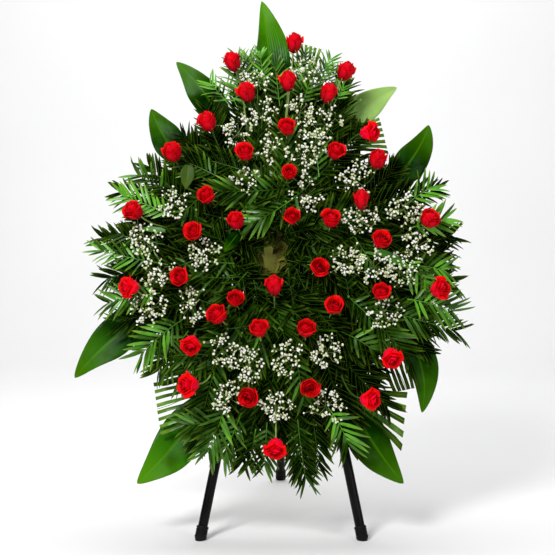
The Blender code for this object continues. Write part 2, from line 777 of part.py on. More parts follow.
def leaf(angle, start, tip, width, bow, level):
    inner, outer, first, middle, last = leaf_line(angle, start, tip, bow)
    spine, halves, thick, waves = [inner, outer], [2.4, 2.4], [3.0, 2.6], [0.0, 0.0]
    steps = 6
    for k in range(steps):
        f = k / steps
        point = first * (1 - f) ** 2 + middle * 2 * f * (1 - f) + last * f * f
        spine.append(point)
        halves.append(max(3.0, width / 2 * math.sin(math.pi * (0.08 + 0.92 * f) ** 0.82) ** 0.75))
        thick.append(1.3)
        waves.append(2.2 * math.sin(2.6 * k + angle))
    points, triangles = [], []
    for i, point in enumerate(spine):
        ahead = (spine[min(i + 1, len(spine) - 1)] - spine[max(i - 1, 0)]).normalized()
        if i == len(spine) - 1:
            ahead = (last - point).normalized()
        across = Vector((-ahead.y, ahead.x))
        depth = -14.0 if i < 2 else level
        edge = 0.0 if i < 2 else 2.5
        wobble = 1 + (0.05 * math.sin(3.1 * i + angle) if i > 2 else 0)
        left, right = point + across * halves[i] * wobble, point - across * halves[i] / wobble
        points += [
            Vector((left.x, left.y, depth + edge + waves[i])),
            Vector((point.x, point.y, depth - edge * 0.6)),
            Vector((right.x, right.y, depth + edge - waves[i])),
        ]
        thick_here = thick[i]
        thick[i] = thick_here
        if i:
            a = 3 * i - 3
            for k in (0, 1):
                triangles += [(a + k, a + k + 1, a + k + 4), (a + k, a + k + 4, a + k + 3)]
    a = len(points) - 3
    points.append(Vector((last.x, last.y, level)))
    triangles += [(a, a + 1, a + 3), (a + 1, a + 2, a + 3)]
    flat = [Vector((p.x, p.y)) for p in points]
    triangles = [t if turned(flat, t) > 0 else t[::-1] for t in triangles]
    thickness = [t for t in thick for _ in range(3)] + [1.3]
    return slab(points, triangles, thickness)


def fan(angle, level, middle, cut):
    """A palm leaf trimmed square: leaflets side by side, all ending on one straight cut."""
    inner, outer, target = polar(232, angle), polar(278, angle), Vector(middle)
    axis = (target - outer).normalized()
    length = (target - outer).length
    across = Vector((-axis.y, axis.x))
    pairs = 4
    slant = math.radians(24)
    spacing = cut / 2 / pairs / math.tan(slant)
    roots = [length - (k + 0.9) * spacing for k in range(pairs)][::-1]
    stations = [0.0]
    for root in roots:
        stations += [root, root + 5.0]
    stations.append(length)
    first_axis = (outer - inner).normalized()
    flat = [inner + Vector((-first_axis.y, first_axis.x)) * s for s in (2.4, -2.4)]
    triangles = []
    for i, along in enumerate(stations):
        half = 2.4 if i < len(stations) - 1 else 4.0
        flat += [outer + axis * along + across * s for s in (half, -half)]
        a, b, c, d = 2 * i, 2 * i + 1, 2 * i + 2, 2 * i + 3
        triangles += [(a, b, d), (a, d, c)]
    for k, root in enumerate(roots):
        for sign in (1, -1):
            first = 2 * (2 + 2 * k) + (0 if sign > 0 else 1)
            second = first + 2
            end = outer + axis * length + across * sign * (length - root) * math.tan(slant)
            i = len(flat)
            flat += [end + across * sign * 4.6 + axis * 2, end - across * sign * 4.2 - axis * 2]
            triangles += [(first, second, i + 1), (first, i + 1, i)]
    triangles = [t if turned(flat, t) > 0 else t[::-1] for t in triangles]
    points = [Vector((p.x, p.y, level if i > 3 else -2.0)) for i, p in enumerate(flat)]
    return slab(points, triangles, [2.2] * 4 + [BLADE] * (len(points) - 4))


# Assembly


def straw_ring(holes):
    rings = []
    verts, faces = [], []
    for i in range(RING_SEGMENTS):
        turn = 2 * math.pi * i / RING_SEGMENTS
        ring = []
        for k in range(RING_SIDES):
            round_it = 2 * math.pi * (k + 0.5) / RING_SIDES
            radius = RING_RADIUS + RING_HALF_WIDTH * math.cos(round_it)
            ring.append(len(verts))
            verts.append(Vector((radius * math.cos(turn), radius * math.sin(turn),
                                 RING_HALF_DEPTH * math.sin(round_it))))
        rings.append(ring)
    join_rings(rings + [rings[0]], faces)
    build("straw_ring", "straw", [(verts, faces)], holes)


def main():
    for old in list(bpy.data.objects):
        bpy.data.objects.remove(old)
    build_easel()
    holes = []
    for side, line in zip(("left", "right"), tie_lines()):
        build(f"wire_tie_{side}", "zinc", [sweep(line, [TIE_WIRE] * 6, 5)])
        for end in (line[0], line[-1]):
            holes.append(sweep([end + Vector((0, 0, 1)), end - Vector((0, 0, 30))], [2.6, 2.6], 5))

    plan = palm_plan()
    lines = rib_lines(plan)
    taken = [stub for stub, _ in plan]
    keep = KeepOut()
    roses = rose_plan(lines, taken, keep)
    sprays = spray_plan(lines, taken, keep)
    for trunk, _ in sprays:
        keep.add_line([Vector((trunk.x, trunk.y, STUB_FLOOR)), Vector((trunk.x, trunk.y, TOP + 5))], 2.6)
    for i, (stub, fronds) in enumerate(plan):
        top = max(level for _, _, _, _, level in fronds) + 3
        keep.add_line([Vector((stub.x, stub.y, STUB_FLOOR)), Vector((stub.x, stub.y, top))], 4.0, f"palm{i}")

    for i, (trunk, blooms, stems) in enumerate(roses):
        solids = [sweep([Vector((trunk.x, trunk.y, STUB_FLOOR)),
                         Vector((trunk.x, trunk.y, STEM_LEVEL + 3.5))], [4.0, 3.4], 4)]
        for stem in stems:
            solids.append(sweep(stem, [2.2] * len(stem), 3))
        for centre, axis, number in blooms:
            solids.append(rose_head(centre, axis, 0.37 * number, 0.98 + 0.03 * (number % 3)))
        build(f"rose_bunch_{i + 1:02d}", "red_petal", solids)
        holes.append(hole_at(trunk, 4.8))
    for i, (trunk, branches) in enumerate(sprays):
        solids = [sweep([Vector((trunk.x, trunk.y, STUB_FLOOR)),
                         Vector((trunk.x, trunk.y, SPRAY_LEVEL + 1.5))], [2.8, 2.6], 4)]
        solids += [cluster(*branch) for branch in branches]
        build(f"gypsophila_spray_{i + 1}", "gypsophila", solids)
        holes.append(hole_at(trunk, 3.4))
    for i, (stub, fronds) in enumerate(plan):
        top = max(level for _, _, _, _, level in fronds) + 2
        solids = [sweep([Vector((stub.x, stub.y, STUB_FLOOR)), Vector((stub.x, stub.y, top))],
                        [3.6, 3.2], 4)]
        for heading, length, bend, reach, level in fronds:
            solids.append(frond(stub, heading, length, bend, reach, level, keep, f"palm{i}"))
        build(f"palm_bunch_{i + 1:02d}", "palm", solids)
        holes.append(hole_at(stub, 4.4))
    for i, entry in enumerate(LEAVES):
        build(f"aspidistra_leaf_{i + 1}", "aspidistra", [leaf(*entry)])
        start = polar(226, entry[0])
        end = polar(300, entry[0])
        holes.append(sweep([Vector((start.x, start.y, -14)), Vector((end.x, end.y, -14))], [4.4, 4.4], 4))
    for i, entry in enumerate(FANS):
        build(f"trimmed_palm_{i + 1}", "palm", [fan(*entry)])
        start, end = polar(226, entry[0]), polar(300, entry[0])
        holes.append(sweep([Vector((start.x, start.y, -2)), Vector((end.x, end.y, -2))], [4.4, 4.4], 4))
    straw_ring(holes)


def hole_at(spot, radius):
    return sweep([Vector((spot.x, spot.y, STUB_FLOOR - 1.5)), Vector((spot.x, spot.y, 60))],
                 [radius, radius], 4)


main()
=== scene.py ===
"""Funeral wreath of red roses, gypsophila, palm and aspidistra on a folding black easel.

Lengths are millimetres in the wreath's own leaning plane: u runs to the right, v up the slope
and w out of the wreath towards the viewer, from the centre of the straw ring. Each finished
mesh is moved into the CAD frame, in metres, when its piece is made.
"""

from __future__ import annotations

import logging
import math
import random
from dataclasses import dataclass, field
from enum import Enum
from functools import lru_cache

import bmesh
import bpy
import numpy as np
from mathutils import Matrix, Vector


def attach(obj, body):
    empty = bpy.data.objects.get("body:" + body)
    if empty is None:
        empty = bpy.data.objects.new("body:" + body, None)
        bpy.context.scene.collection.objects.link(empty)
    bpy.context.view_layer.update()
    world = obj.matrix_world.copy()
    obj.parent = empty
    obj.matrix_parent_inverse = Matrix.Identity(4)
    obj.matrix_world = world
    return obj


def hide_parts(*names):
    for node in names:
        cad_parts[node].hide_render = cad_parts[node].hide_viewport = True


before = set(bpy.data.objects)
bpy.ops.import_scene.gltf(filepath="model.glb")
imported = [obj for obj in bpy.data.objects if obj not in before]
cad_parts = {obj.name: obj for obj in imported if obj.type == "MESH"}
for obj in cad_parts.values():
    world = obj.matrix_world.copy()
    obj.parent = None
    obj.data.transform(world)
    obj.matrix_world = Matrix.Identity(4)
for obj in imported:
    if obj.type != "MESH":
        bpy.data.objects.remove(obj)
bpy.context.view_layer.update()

LOG = logging.getLogger("wreath")
MM = 0.001
FULL_TURN = 6.2832

# Roses: u, v, heading of the bloom round the face, lean of the bloom away from the viewer
ROSES = (
    (57, 555, 84, 62), (-103, 500, 116, 57), (189, 475, 60, 57), (40, 444, 90, 56),
    (-65, 413, 112, 54), (144, 411, 66, 56), (-164, 333, 118, 52), (38, 317, 84, 24),
    (246, 307, 0, 54), (-68, 250, 100, 28), (160, 254, 60, 34), (-252, 253, 112, 50),
    (43, 198, 85, 12), (267, 234, 82, 50), (-164, 139, 140, 30), (224, 128, 88, 62),
    (-347, 102, 146, 46), (-90, 74, 112, 44), (50, 85, 85, 16), (148, 79, 80, 32),
    (-195, 46, 150, 24), (273, 26, 60, 20), (396, 83, 52, 44), (117, -42, 0, 12),
    (-228, -67, 182, 24), (-353, -91, 184, 50), (5, -90, 92, 60), (271, -105, 100, 28),
    (418, -94, 8, 46), (-91, -122, 60, 20), (-135, -162, 132, 42), (154, -140, 80, 18),
    (-32, -197, 98, 40), (84, -197, 80, 34), (-199, -233, -100, 48), (296, -264, -76, 52),
    (-203, -333, 184, 52), (-58, -362, -110, 24), (94, -340, -80, 20), (240, -369, -8, 52),
    (9, -486, -92, 56),
)
# How wide each bloom is, next to the widest ones
BLOOM_SIZES = (
    0.84, 0.88, 0.86, 0.84, 0.86, 0.84, 0.90, 0.86, 0.88, 0.84, 0.86, 0.97, 0.74, 0.82, 0.80, 0.78, 1.0,
    0.79, 0.76, 0.86, 0.88, 0.88, 0.95, 0.86, 0.88, 0.95, 0.78, 0.84, 0.95, 0.84, 0.99, 0.88, 0.86, 0.86,
    0.90, 0.95, 0.98, 1.0, 0.94, 0.96, 1.0,
)
ROSE_BUNCHES = (
    (1, 4, 8, 13), (3, 6, 9, 11), (2, 5, 10), (7, 12, 15), (14, 16, 20), (17, 21), (25, 26),
    (18, 19), (22, 23, 24), (28, 29, 32), (30, 31, 27), (33, 34, 41), (35, 37, 38),
    (36, 40, 39),
)

# Gypsophila: the centre of each cluster, by spray
SPRAYS = (
    ((-39, 451), (-26, 360), (-87, 316), (0, 270), (-63, 191)),
    ((93, 475), (72, 372), (141, 334), (110, 284), (84, 240), (88, 150)),
    ((210, 192), (229, 82), (336, 116)),
    ((367, 19), (190, -21), (257, -36), (322, -45)),
    ((281, -152), (138, -250), (135, -385)),
    ((-123, -243), (-66, -287), (-110, -360), (10, -385), (37, -267)),
    ((-284, -56), (-303, -140), (-203, -134)),
    ((-250, 127), (-324, 31), (-167, -1)),
)

# Palm bunches round the ring: angle of the stub, the lengths of the frond clockwise of radial
# and of the one anticlockwise of it, and the reach of their leaflets
PALM_BUNCHES = (
    (0, 246, 244, 78), (30, 235, 160, 72), (60, 178, 264, 72), (90, 310, 280, 76),
    (120, 205, 164, 72), (150, 168, 202, 72), (180, 220, 205, 76), (210, 200, 164, 74),
    (240, 170, 282, 78), (270, 300, 325, 80), (300, 295, 255, 78), (330, 196, 282, 78),
)

# Rows of fronds that fill the sector of a bunch, from the rim inwards: how many, the radius they
# start at, how far they reach as a share of the edge, their lowest and highest level, and how far
# their heading swings
FILLING_ROWS = (
    (5, 262, 0.86, -10, 14, 10), (4, 240, 0.97, 18, 44, 14), (4, 205, 0.90, 38, 62, 20),
    (4, 175, 0.80, 52, 78, 28), (4, 145, 0.70, 66, 90, 34), (3, 115, 0.56, 78, 100, 44),
    (3, 90, 0.44, 88, 104, 60),
)

# How far the palm reaches from the ring's centre, by angle
PALM_EDGE = (
    (-180, 458), (-163, 478), (-148, 430), (-131, 415), (-113, 520), (-90, 555), (-78, 590),
    (-67, 550), (-53, 500), (-44, 447), (-25, 525), (-13, 520), (0, 505), (12, 510), (29, 485),
    (42, 411), (55, 450), (69, 520), (83, 560), (93, 555), (102, 510), (115, 441), (131, 424),
    (149, 425), (158, 440), (180, 458),
)

# Trimmed palm leaves: the CAD fan, number of leaflets, half their width, level, tone, then the
# first and the last root, and the first and the last square end
CUT_LEAFLETS = (
    (1, 5, 4.2, 8, 0.34, (78, 452), (96, 446), (78, 582), (128, 568)),
    (2, 7, 5.0, 4, 0.34, (186, 356), (190, 286), (284, 378), (306, 286)),
    (2, 4, 3.8, 10, 0.50, (150, 400), (184, 380), (202, 456), (238, 428)),
    (3, 8, 4.7, 6, 0.45, (-150, -306), (-172, -402), (-303, -326), (-284, -450)),
    (4, 6, 4.6, -4, 0.04, (286, -236), (334, -232), (316, -344), (374, -332)),
    (5, 5, 7.6, 6, 0.30, (226, -330), (214, -384), (346, -352), (330, -486)),
)

# Fronds that stand out in the front: start, heading, length, bend, reach, level, tone, roll, fall
# and leaflet width
SHOWY_FRONDS = (
    (-254, 96, 154, 130, 6, 74, 106, 1.0, 8, 4, 9), (-270, 22, 169, 128, -6, 62, 100, 0.25, 0, 8, 7),
    (-262, -30, 171, 176, -8, 62, 106, 0.62, -8, 4, 7.5), (-281, -102, 186, 130, 6, 70, 104, 0.55, 0, 6, 9),
    (-222, -168, 213, 130, 10, 84, 106, 0.50, 10, 8, 10), (-26, 196, 158, 180, 8, 62, 100, 0.18, 0, 10, 8),
    (64, 168, 188, 186, -10, 84, 112, 0.42, -24, 10, 10),
    (84, 164, 222, 165, -18, 74, 113, 0.50, 20, 10, 9.5),
    (350, 66, 17, 90, 0, 76, 104, 0.80, 0, 4, 11), (350, -30, -2, 80, -8, 80, 106, 0.72, -6, 4, 10),
    (340, -116, -6, 115, -14, 86, 104, 0.55, 6, 6, 10), (340, 128, 37, 80, 0, 76, 92, 0.70, 0, 4, 9),
    (336, -12, -48, 80, 0, 64, 108, 0.85, 0, 6, 9), (-104, -352, -108, 150, -6, 84, 104, 0.42, 10, 8, 10),
    (-12, -424, -94, 100, 0, 66, 98, 0.30, 0, 10, 9), (64, -418, -84, 142, 4, 74, 114, 0.24, 0, 6, 7.5),
    (140, -388, -50, 96, -20, 86, 106, 0.44, 0, 8, 10), (-128, 190, 148, 100, 8, 72, 104, 0.30, 0, 8, 9),
    (-68, 384, 108, 96, 0, 64, 96, 0.68, 0, 8, 9), (74, 384, 72, 90, 0, 60, 96, 0.72, 0, 6, 9),
    (-166, -256, 178, 100, 10, 74, 100, 0.40, 0, 8, 9), (-104, -424, 176, 96, 14, 76, 96, 0.34, 0, 8, 10),
    (176, -200, -23, 84, -10, 74, 98, 0.38, 0, 8, 10), (-260, 150, 140, 100, 10, 70, 92, 0.50, 0, 6, 9),
    (60, -250, -84, 110, 8, 66, 106, 0.30, 0, 10, 9),
    (-150, 170, 216, 90, 10, 60, 104, 0.22, 0, 10, 9), (210, 40, -60, 90, 10, 62, 102, 0.28, 0, 10, 9),
    (-30, 440, 104, 80, 0, 62, 80, 0.68, 0, 4, 6.5), (-52, 430, 112, 90, 4, 66, 74, 0.80, 0, 4, 6.5),
    (98, 430, 68, 84, -6, 62, 84, 0.68, 0, 4, 6.5), (122, 430, 56, 72, -6, 64, 78, 0.88, 0, 4, 6.5),
    (70, 400, 82, 100, 0, 58, 70, 0.60, 0, 4, 6.5), (110, 400, 70, 110, 0, 60, 60, 0.52, 0, 4, 6.5),
    (150, 380, 58, 84, 0, 64, 66, 0.60, 0, 4, 6.5), (20, 400, 96, 110, 0, 56, 62, 0.52, 0, 4, 6.5),
    (-76, -400, -112, 110, 0, 74, 92, 0.40, 0, 8, 10), (-40, -440, -100, 80, 0, 66, 96, 0.30, 0, 8, 9),
    (-210, -196, -128, 120, 0, 74, 88, 0.42, 0, 8, 10), (120, 196, 96, 96, 0, 62, 104, 0.30, 0, 8, 9),
    (330, -60, -20, 100, 0, 80, 90, 0.50, 0, 6, 10), (-200, -20, 200, 90, 0, 60, 100, 0.26, 0, 8, 9),
    (-82, 472, 104, 66, 0, 60, 44, 0.40, 0, 4, 6.5), (-56, 488, 97, 62, 0, 62, 34, 0.44, 0, 4, 6.5),
    (-28, 482, 92, 74, 0, 60, 28, 0.36, 0, 4, 6.5), (-92, 400, 112, 70, 0, 60, 52, 0.72, 0, 4, 6.5),
    (-60, 452, 110, 84, 0, 56, 96, 0.80, 0, 4, 6.5), (-20, 446, 97, 92, 0, 54, 90, 0.90, 0, 4, 6.5),
    (120, 452, 66, 80, 0, 54, 92, 0.85, 0, 4, 6.5), (76, 470, 84, 74, 0, 52, 88, 0.80, 0, 4, 6.5),
    (-110, 392, 128, 80, 0, 58, 96, 0.75, 0, 6, 6.5), (160, 396, 62, 50, 0, 50, 96, 0.80, 0, 6, 6.5),
    (96, 336, 78, 110, 0, 62, 34, 0.10, 0, 6, 11), (124, 350, 66, 100, 0, 60, 40, 0.16, 0, 6, 11),
    (60, 340, 68, 120, 0, 64, 24, 0.08, 0, 6, 12), (150, 330, 92, 120, 0, 64, 20, 0.08, 0, 6, 12),
    (-120, -290, -112, 150, 0, 80, 18, 0.06, 0, 6, 12), (-64, -320, -100, 140, 0, 80, 12, 0.06, 0, 6, 12),
    (-150, -300, -90, 140, 0, 80, 6, 0.06, 0, 6, 12), (96, -320, -80, 130, 0, 80, 14, 0.06, 0, 6, 12),
    (150, -300, -66, 120, 0, 80, 18, 0.06, 0, 6, 12), (20, -330, -90, 130, 0, 80, 8, 0.06, 0, 6, 12),
)

# Aspidistra leaves: ring angle, start of the blade, tip, width, sideways bow, level
LEAVES = (
    (91, (7, 420), (-29, 713), 90, -4, -25), (114, (-126, 352), (-258, 542), 84, -26, -25),
    (136, (-232, 262), (-323, 412), 84, 20, -26), (60, (168, 330), (334, 471), 86, 20, -25),
    (33, (306, 208), (417, 368), 88, -30, -26), (203, (-297, -120), (-511, -306), 105, -24, -26),
    (-25, (316, -160), (386, -396), 86, 68, -25), (-119, (-166, -360), (-345, -576), 120, 20, -24),
    (-60, (190, -352), (336, -576), 108, -16, -24),
)

# Lights: place, what it is aimed at, size in metres and power in watts
LAMPS = {
    "key_light": ((-1.6, -3.6, 3.2), (0, -0.2, 0.75), 1.2, 170),
    "fill_light": ((2.6, -3.2, 1.6), (0, -0.2, 0.75), 1.8, 34),
    "wall_light": ((0.0, 0.6, 4.4), (0, 4.0, 1.4), 3.5, 186),
}

Triple = tuple[float, float, float]
Box = tuple[float, float, float, float]


class Body(Enum):
    """The CAD bodies that pieces ride on."""

    STAND = "easel_and_wreath"
    REAR_LEG = "rear_leg"


class Slot(Enum):
    """Names of the material slots."""

    ENAMEL = "black_enamel"
    RUBBER = "black_rubber"
    ZINC = "zinc"
    STRAW = "straw"
    PETAL = "red_petal"
    PALM = "palm"
    LEAF = "aspidistra"
    GYPSOPHILA = "gypsophila"


# Placing


@dataclass(frozen=True)
class Plane:
    """The wreath's leaning plane, and the dome of foliage that lies on it."""

    lean: float = math.radians(12.0)
    ring_height: float = 714.0
    shift_x: float = -0.7
    shift_y: float = -196.7
    dome_start: float = 250.0
    dome_run: float = 300.0
    dome_fall: float = 50.0
    # Left, right, lowest and highest side of the opening, and of the olive ground seen round it
    opening: Box = (-27.0, 10.5, 686.0, 752.0)
    ground: tuple[Box, ...] = ((-27.0, 34.0, 682.0, 752.0), (6.0, 30.0, 740.0, 794.0))

    def matrix(self) -> Matrix:
        """Returns the matrix from plane millimetres to the CAD frame in metres."""
        turn = Matrix(((MM, 0, 0, 0), (0, 0, -MM, 0), (0, MM, 0, 0), (0, 0, 0, 1)))
        place = Matrix.Translation((self.shift_x * MM, self.shift_y * MM, self.ring_height * MM))
        return place @ Matrix.Rotation(-self.lean, 4, "X") @ turn

    def from_floor(self, x: float, y: float, z: float) -> Vector:
        """A point over the floor, in unshifted millimetres.

        Args:
            x: Sideways place.
            y: Place towards the back.
            z: Height.

        Returns:
            The same point in the plane's terms.
        """
        world = Vector(((x + self.shift_x) * MM, (y + self.shift_y) * MM, z * MM))
        return self.matrix().inverted() @ world

    def height(self, point: Vector) -> float:
        """Returns the height over the floor of a point in the plane's terms."""
        return (self.matrix() @ point).z / MM

    def on_dome(self, u: np.ndarray | float, v: np.ndarray | float, level: np.ndarray | float) -> np.ndarray:
        """Puts places of the plane on the dome of foliage.

        Args:
            u: Sideways place or places.
            v: Place or places up the slope.
            level: Height over the ring's middle plane before the dome falls back.

        Returns:
            The points, with u, v and w in the last axis.
        """
        radius = np.hypot(u, v)
        fall = self.dome_fall * (np.maximum(radius - self.dome_start, 0.0) / self.dome_run) ** 1.5
        return np.stack(np.broadcast_arrays(u, v, level - fall), axis=-1).astype(float)

    def in_opening(self, points: np.ndarray, margin: float, dry: bool = False) -> bool:
        """Tells whether any point stands before the hole, which leaves are kept out of.

        Args:
            points: The points, in the plane's terms.
            margin: How far round the hole counts too, in millimetres.
            dry: Whether only the opening counts, and not the olive ground beside it.

        Returns:
            Whether one does.
        """
        x = points[:, 0]
        z = self.ring_height + points[:, 1] * math.cos(self.lean) + points[:, 2] * math.sin(self.lean)
        for left, right, low, high in (self.opening,) if dry else self.ground:
            if ((x > left - margin) & (x < right + margin) & (z > low - margin) & (z < high + margin)).any():
                return True
        return False


PLANE = Plane()


def unit(vector: np.ndarray) -> np.ndarray:
    """Returns the vector at length one."""
    return vector / (np.linalg.norm(vector) + 1e-12)


def polar(radius: float, degrees: float) -> np.ndarray:
    """Returns the place of the plane at this radius and angle."""
    turn = math.radians(degrees)
    return np.array((radius * math.cos(turn), radius * math.sin(turn)))


def spun(vector: np.ndarray, axis: np.ndarray, degrees: float) -> np.ndarray:
    """Returns the vector turned about a unit axis."""
    turn = math.radians(degrees)
    across = np.cross(axis, vector)
    return vector * math.cos(turn) + across * math.sin(turn) + axis * axis.dot(vector) * (1 - math.cos(turn))


def upward(height: float) -> np.ndarray:
    """Returns a step of this height out of the wreath."""
    return np.array((0.0, 0.0, height))


def clamp(value: float) -> float:
    """Returns the value held between 0 and 1."""
    return min(1.0, max(0.0, value))


def step_up(value: np.ndarray, low: float, high: float) -> np.ndarray:
    """Returns a smooth rise from 0 to 1 between two values."""
    t = np.clip((value - low) / (high - low), 0, 1)
    return t * t * (3 - 2 * t)


def root_in_ring(place: np.ndarray, inwards: float, farthest: float) -> np.ndarray:
    """Finds where a stem is pushed into the ring.

    Args:
        place: The place on the plane of what it carries.
        inwards: How much nearer the centre it starts.
        farthest: The largest radius at which it can start.

    Returns:
        Its root, in the plane's terms.
    """
    radius = min(max(np.linalg.norm(place) - inwards, 150), farthest)
    return np.array((*(unit(place) * radius), 20.0))


def palm_edge(degrees: float) -> float:
    """Returns how far the palm reaches at this angle."""
    angles, reaches = zip(*PALM_EDGE)
    return float(np.interp((degrees + 180.0) % 360.0 - 180.0, angles, reaches))


# Stamps: small shapes made once with mesh operators, then planted as bent copies


def as_mesh(name: str, work: bmesh.types.BMesh) -> bpy.types.Mesh:
    """Returns a finished shape as a mesh, and frees its bmesh."""
    mesh = bpy.data.meshes.new(name)
    work.to_mesh(mesh)
    work.free()
    return mesh


class Stamp:
    """A small shape of unit length, kept with what each of its points stands for."""

    def __init__(self, name: str, work: bmesh.types.BMesh, along: list[float], across: list[float],
                 rise: list[float]) -> None:
        """Keeps the finished template.

        Args:
            name: Name of the template's mesh.
            work: The shape; it is freed here.
            along: Share of the length at each point.
            across: Place across at each point, from -1 to 1.
            rise: Place over the middle at each point.
        """
        uv = work.loops.layers.uv.new("UVMap")
        work.verts.index_update()
        for face in work.faces:
            for loop in face.loops:
                i = loop.vert.index
                loop[uv].uv = (0.5 + 0.5 * across[i], along[i])
        self.mesh = as_mesh(name, work)
        self.along, self.across, self.rise = (np.array(x) for x in (along, across, rise))


def cut_prism(sides: int, cuts: list[float]) -> bmesh.types.BMesh:
    """Returns a closed prism of unit length and radius, with a ring of points at each cut."""
    work = bmesh.new()
    bmesh.ops.create_cone(work, cap_ends=True, segments=sides, radius1=1, radius2=1, depth=1,
                          matrix=Matrix.Translation((0, 0, 0.5)))
    for cut in cuts:
        bmesh.ops.bisect_plane(work, geom=work.verts[:] + work.edges[:] + work.faces[:],
                               plane_co=(0, 0, cut), plane_no=(0, 0, 1))
    return work


def read_blade(work: bmesh.types.BMesh, girth: dict[float, float],
               pointed: bool = False) -> tuple[list[float], list[float], list[float]]:
    """Reads what each point of a blade stands for.

    Args:
        work: The blade.
        girth: Half width at each ring of points.
        pointed: Whether its end is already drawn to a point.

    Returns:
        The points' shares of the length, places across and places over the middle.
    """
    along, across, rise = [], [], []
    for vert in work.verts:
        t = round(vert.co.z, 4)
        half = girth[t]
        sideways = abs(vert.co.x) > abs(vert.co.y)
        flat = sideways or (pointed and half == 0)
        along.append(t)
        across.append(math.copysign(half, vert.co.x) if sideways else 0.0)
        rise.append(0.0 if flat else math.copysign(min(1.0, 0.25 + half), vert.co.y))
    return along, across, rise


def four_sided(name: str, girth: dict[float, float]) -> Stamp:
    """A creased blade with four long sides, closed at its foot.

    Args:
        name: Name of the template.
        girth: Half width by share of the length, from foot to end, where 0 makes a point.

    Returns:
        The stamp, as wide as its girth says.
    """
    work = cut_prism(4, [share for share in girth if 0 < share < 1])
    work.verts.index_update()
    along, across, rise = read_blade(work, girth)
    for edge in work.edges:
        a, b = (v.index for v in edge.verts)
        edge.smooth = abs(along[a] - along[b]) < 1e-6 or (across[a] == 0 and rise[a] < 0)
    if girth[1.0] == 0:
        tip = [v for v in work.verts if round(v.co.z, 4) == 1.0]
        bmesh.ops.pointmerge(work, verts=tip, merge_co=(0, 0, 1))
        along, across, rise = read_blade(work, girth, pointed=True)
    for face in work.faces:
        face.smooth = True
    bmesh.ops.recalc_face_normals(work, faces=work.faces)
    return Stamp(name, work, along, across, rise)


@lru_cache(maxsize=None)
def leaflet_stamp() -> Stamp:
    """Returns a palm leaflet: widest a third of the way along, and pointed."""
    return four_sided("leaflet", {0.0: 0.22, 0.12: 0.74, 0.36: 1.0, 0.68: 0.82, 0.88: 0.46, 1.0: 0.0})


@lru_cache(maxsize=None)
def strap_stamp() -> Stamp:
    """Returns a trimmed leaflet, widening to a square end."""
    return four_sided("strap", {0.0: 0.2, 0.12: 0.5, 0.45: 0.82, 0.8: 1.0, 1.0: 1.0})


@lru_cache(maxsize=None)
def sepal_stamp() -> Stamp:
    """Returns a sepal: broad at its foot and drawn to a long point."""
    return four_sided("sepal", {0.0: 0.8, 0.25: 1.0, 0.6: 0.5, 1.0: 0.0})


@lru_cache(maxsize=None)
def tube_stamp(sides: int, rings: int) -> Stamp:
    """A closed tube of unit radius.

    Args:
        sides: Number of long sides.
        rings: Number of stretches along it.

    Returns:
        The stamp, with its cross section in across and rise.
    """
    work = cut_prism(sides, [k / rings for k in range(1, rings)])
    for face in work.faces:
        face.smooth = len(face.verts) == 4 and sides > 4
    bmesh.ops.recalc_face_normals(work, faces=work.faces)
    return Stamp(f"tube_{sides}_{rings}", work, [v.co.z for v in work.verts],
                 [v.co.x for v in work.verts], [v.co.y for v in work.verts])


@lru_cache(maxsize=None)
def sheet_stamp(long: int, wide: int) -> Stamp:
    """Returns a plain grid sheet of unit length, with this many faces each way."""
    work = bmesh.new()
    bmesh.ops.create_grid(work, x_segments=long, y_segments=wide, size=0.5)
    for face in work.faces:
        face.smooth = True
    return Stamp(f"sheet_{long}_{wide}", work, [v.co.x + 0.5 for v in work.verts],
                 [v.co.y * 2 for v in work.verts], [0.0] * len(work.verts))


@lru_cache(maxsize=None)
def floret_stamp() -> Stamp:
    """Returns one small double flower: a crumpled ball of twenty faces."""
    work = bmesh.new()
    bmesh.ops.create_icosphere(work, subdivisions=1, radius=1)
    for i, vert in enumerate(work.verts):
        vert.co *= 1.12 if i % 2 else 0.86
    return Stamp("floret", work, [v.co.z for v in work.verts], [v.co.x for v in work.verts],
                 [v.co.y for v in work.verts])


class Sheaf:
    """Many bent copies of stamps, gathered into one mesh."""

    def __init__(self) -> None:
        """Starts an empty sheaf."""
        self.work = bmesh.new()
        self.points: list[np.ndarray] = []
        self.tones: list[np.ndarray] = []

    def plant(self, stamp: Stamp, points: np.ndarray, tone: float) -> None:
        """Adds one copy.

        Args:
            stamp: What is copied.
            points: Where each of its points goes, in the plane's terms.
            tone: How light this copy is, from 0 to 1.
        """
        self.work.from_mesh(stamp.mesh)
        self.points.append(points)
        self.tones.append(np.full(len(points), tone))

    def mesh(self, name: str) -> bpy.types.Mesh:
        """Returns the whole sheaf as one mesh in the CAD frame."""
        made = as_mesh(name, self.work)
        made.vertices.foreach_set("co", np.concatenate(self.points).astype(np.float32).ravel())
        tone = made.attributes.new("tone", "FLOAT", "POINT")
        tone.data.foreach_set("value", np.concatenate(self.tones).astype(np.float32))
        made.transform(PLANE.matrix())
        made.update()
        return made


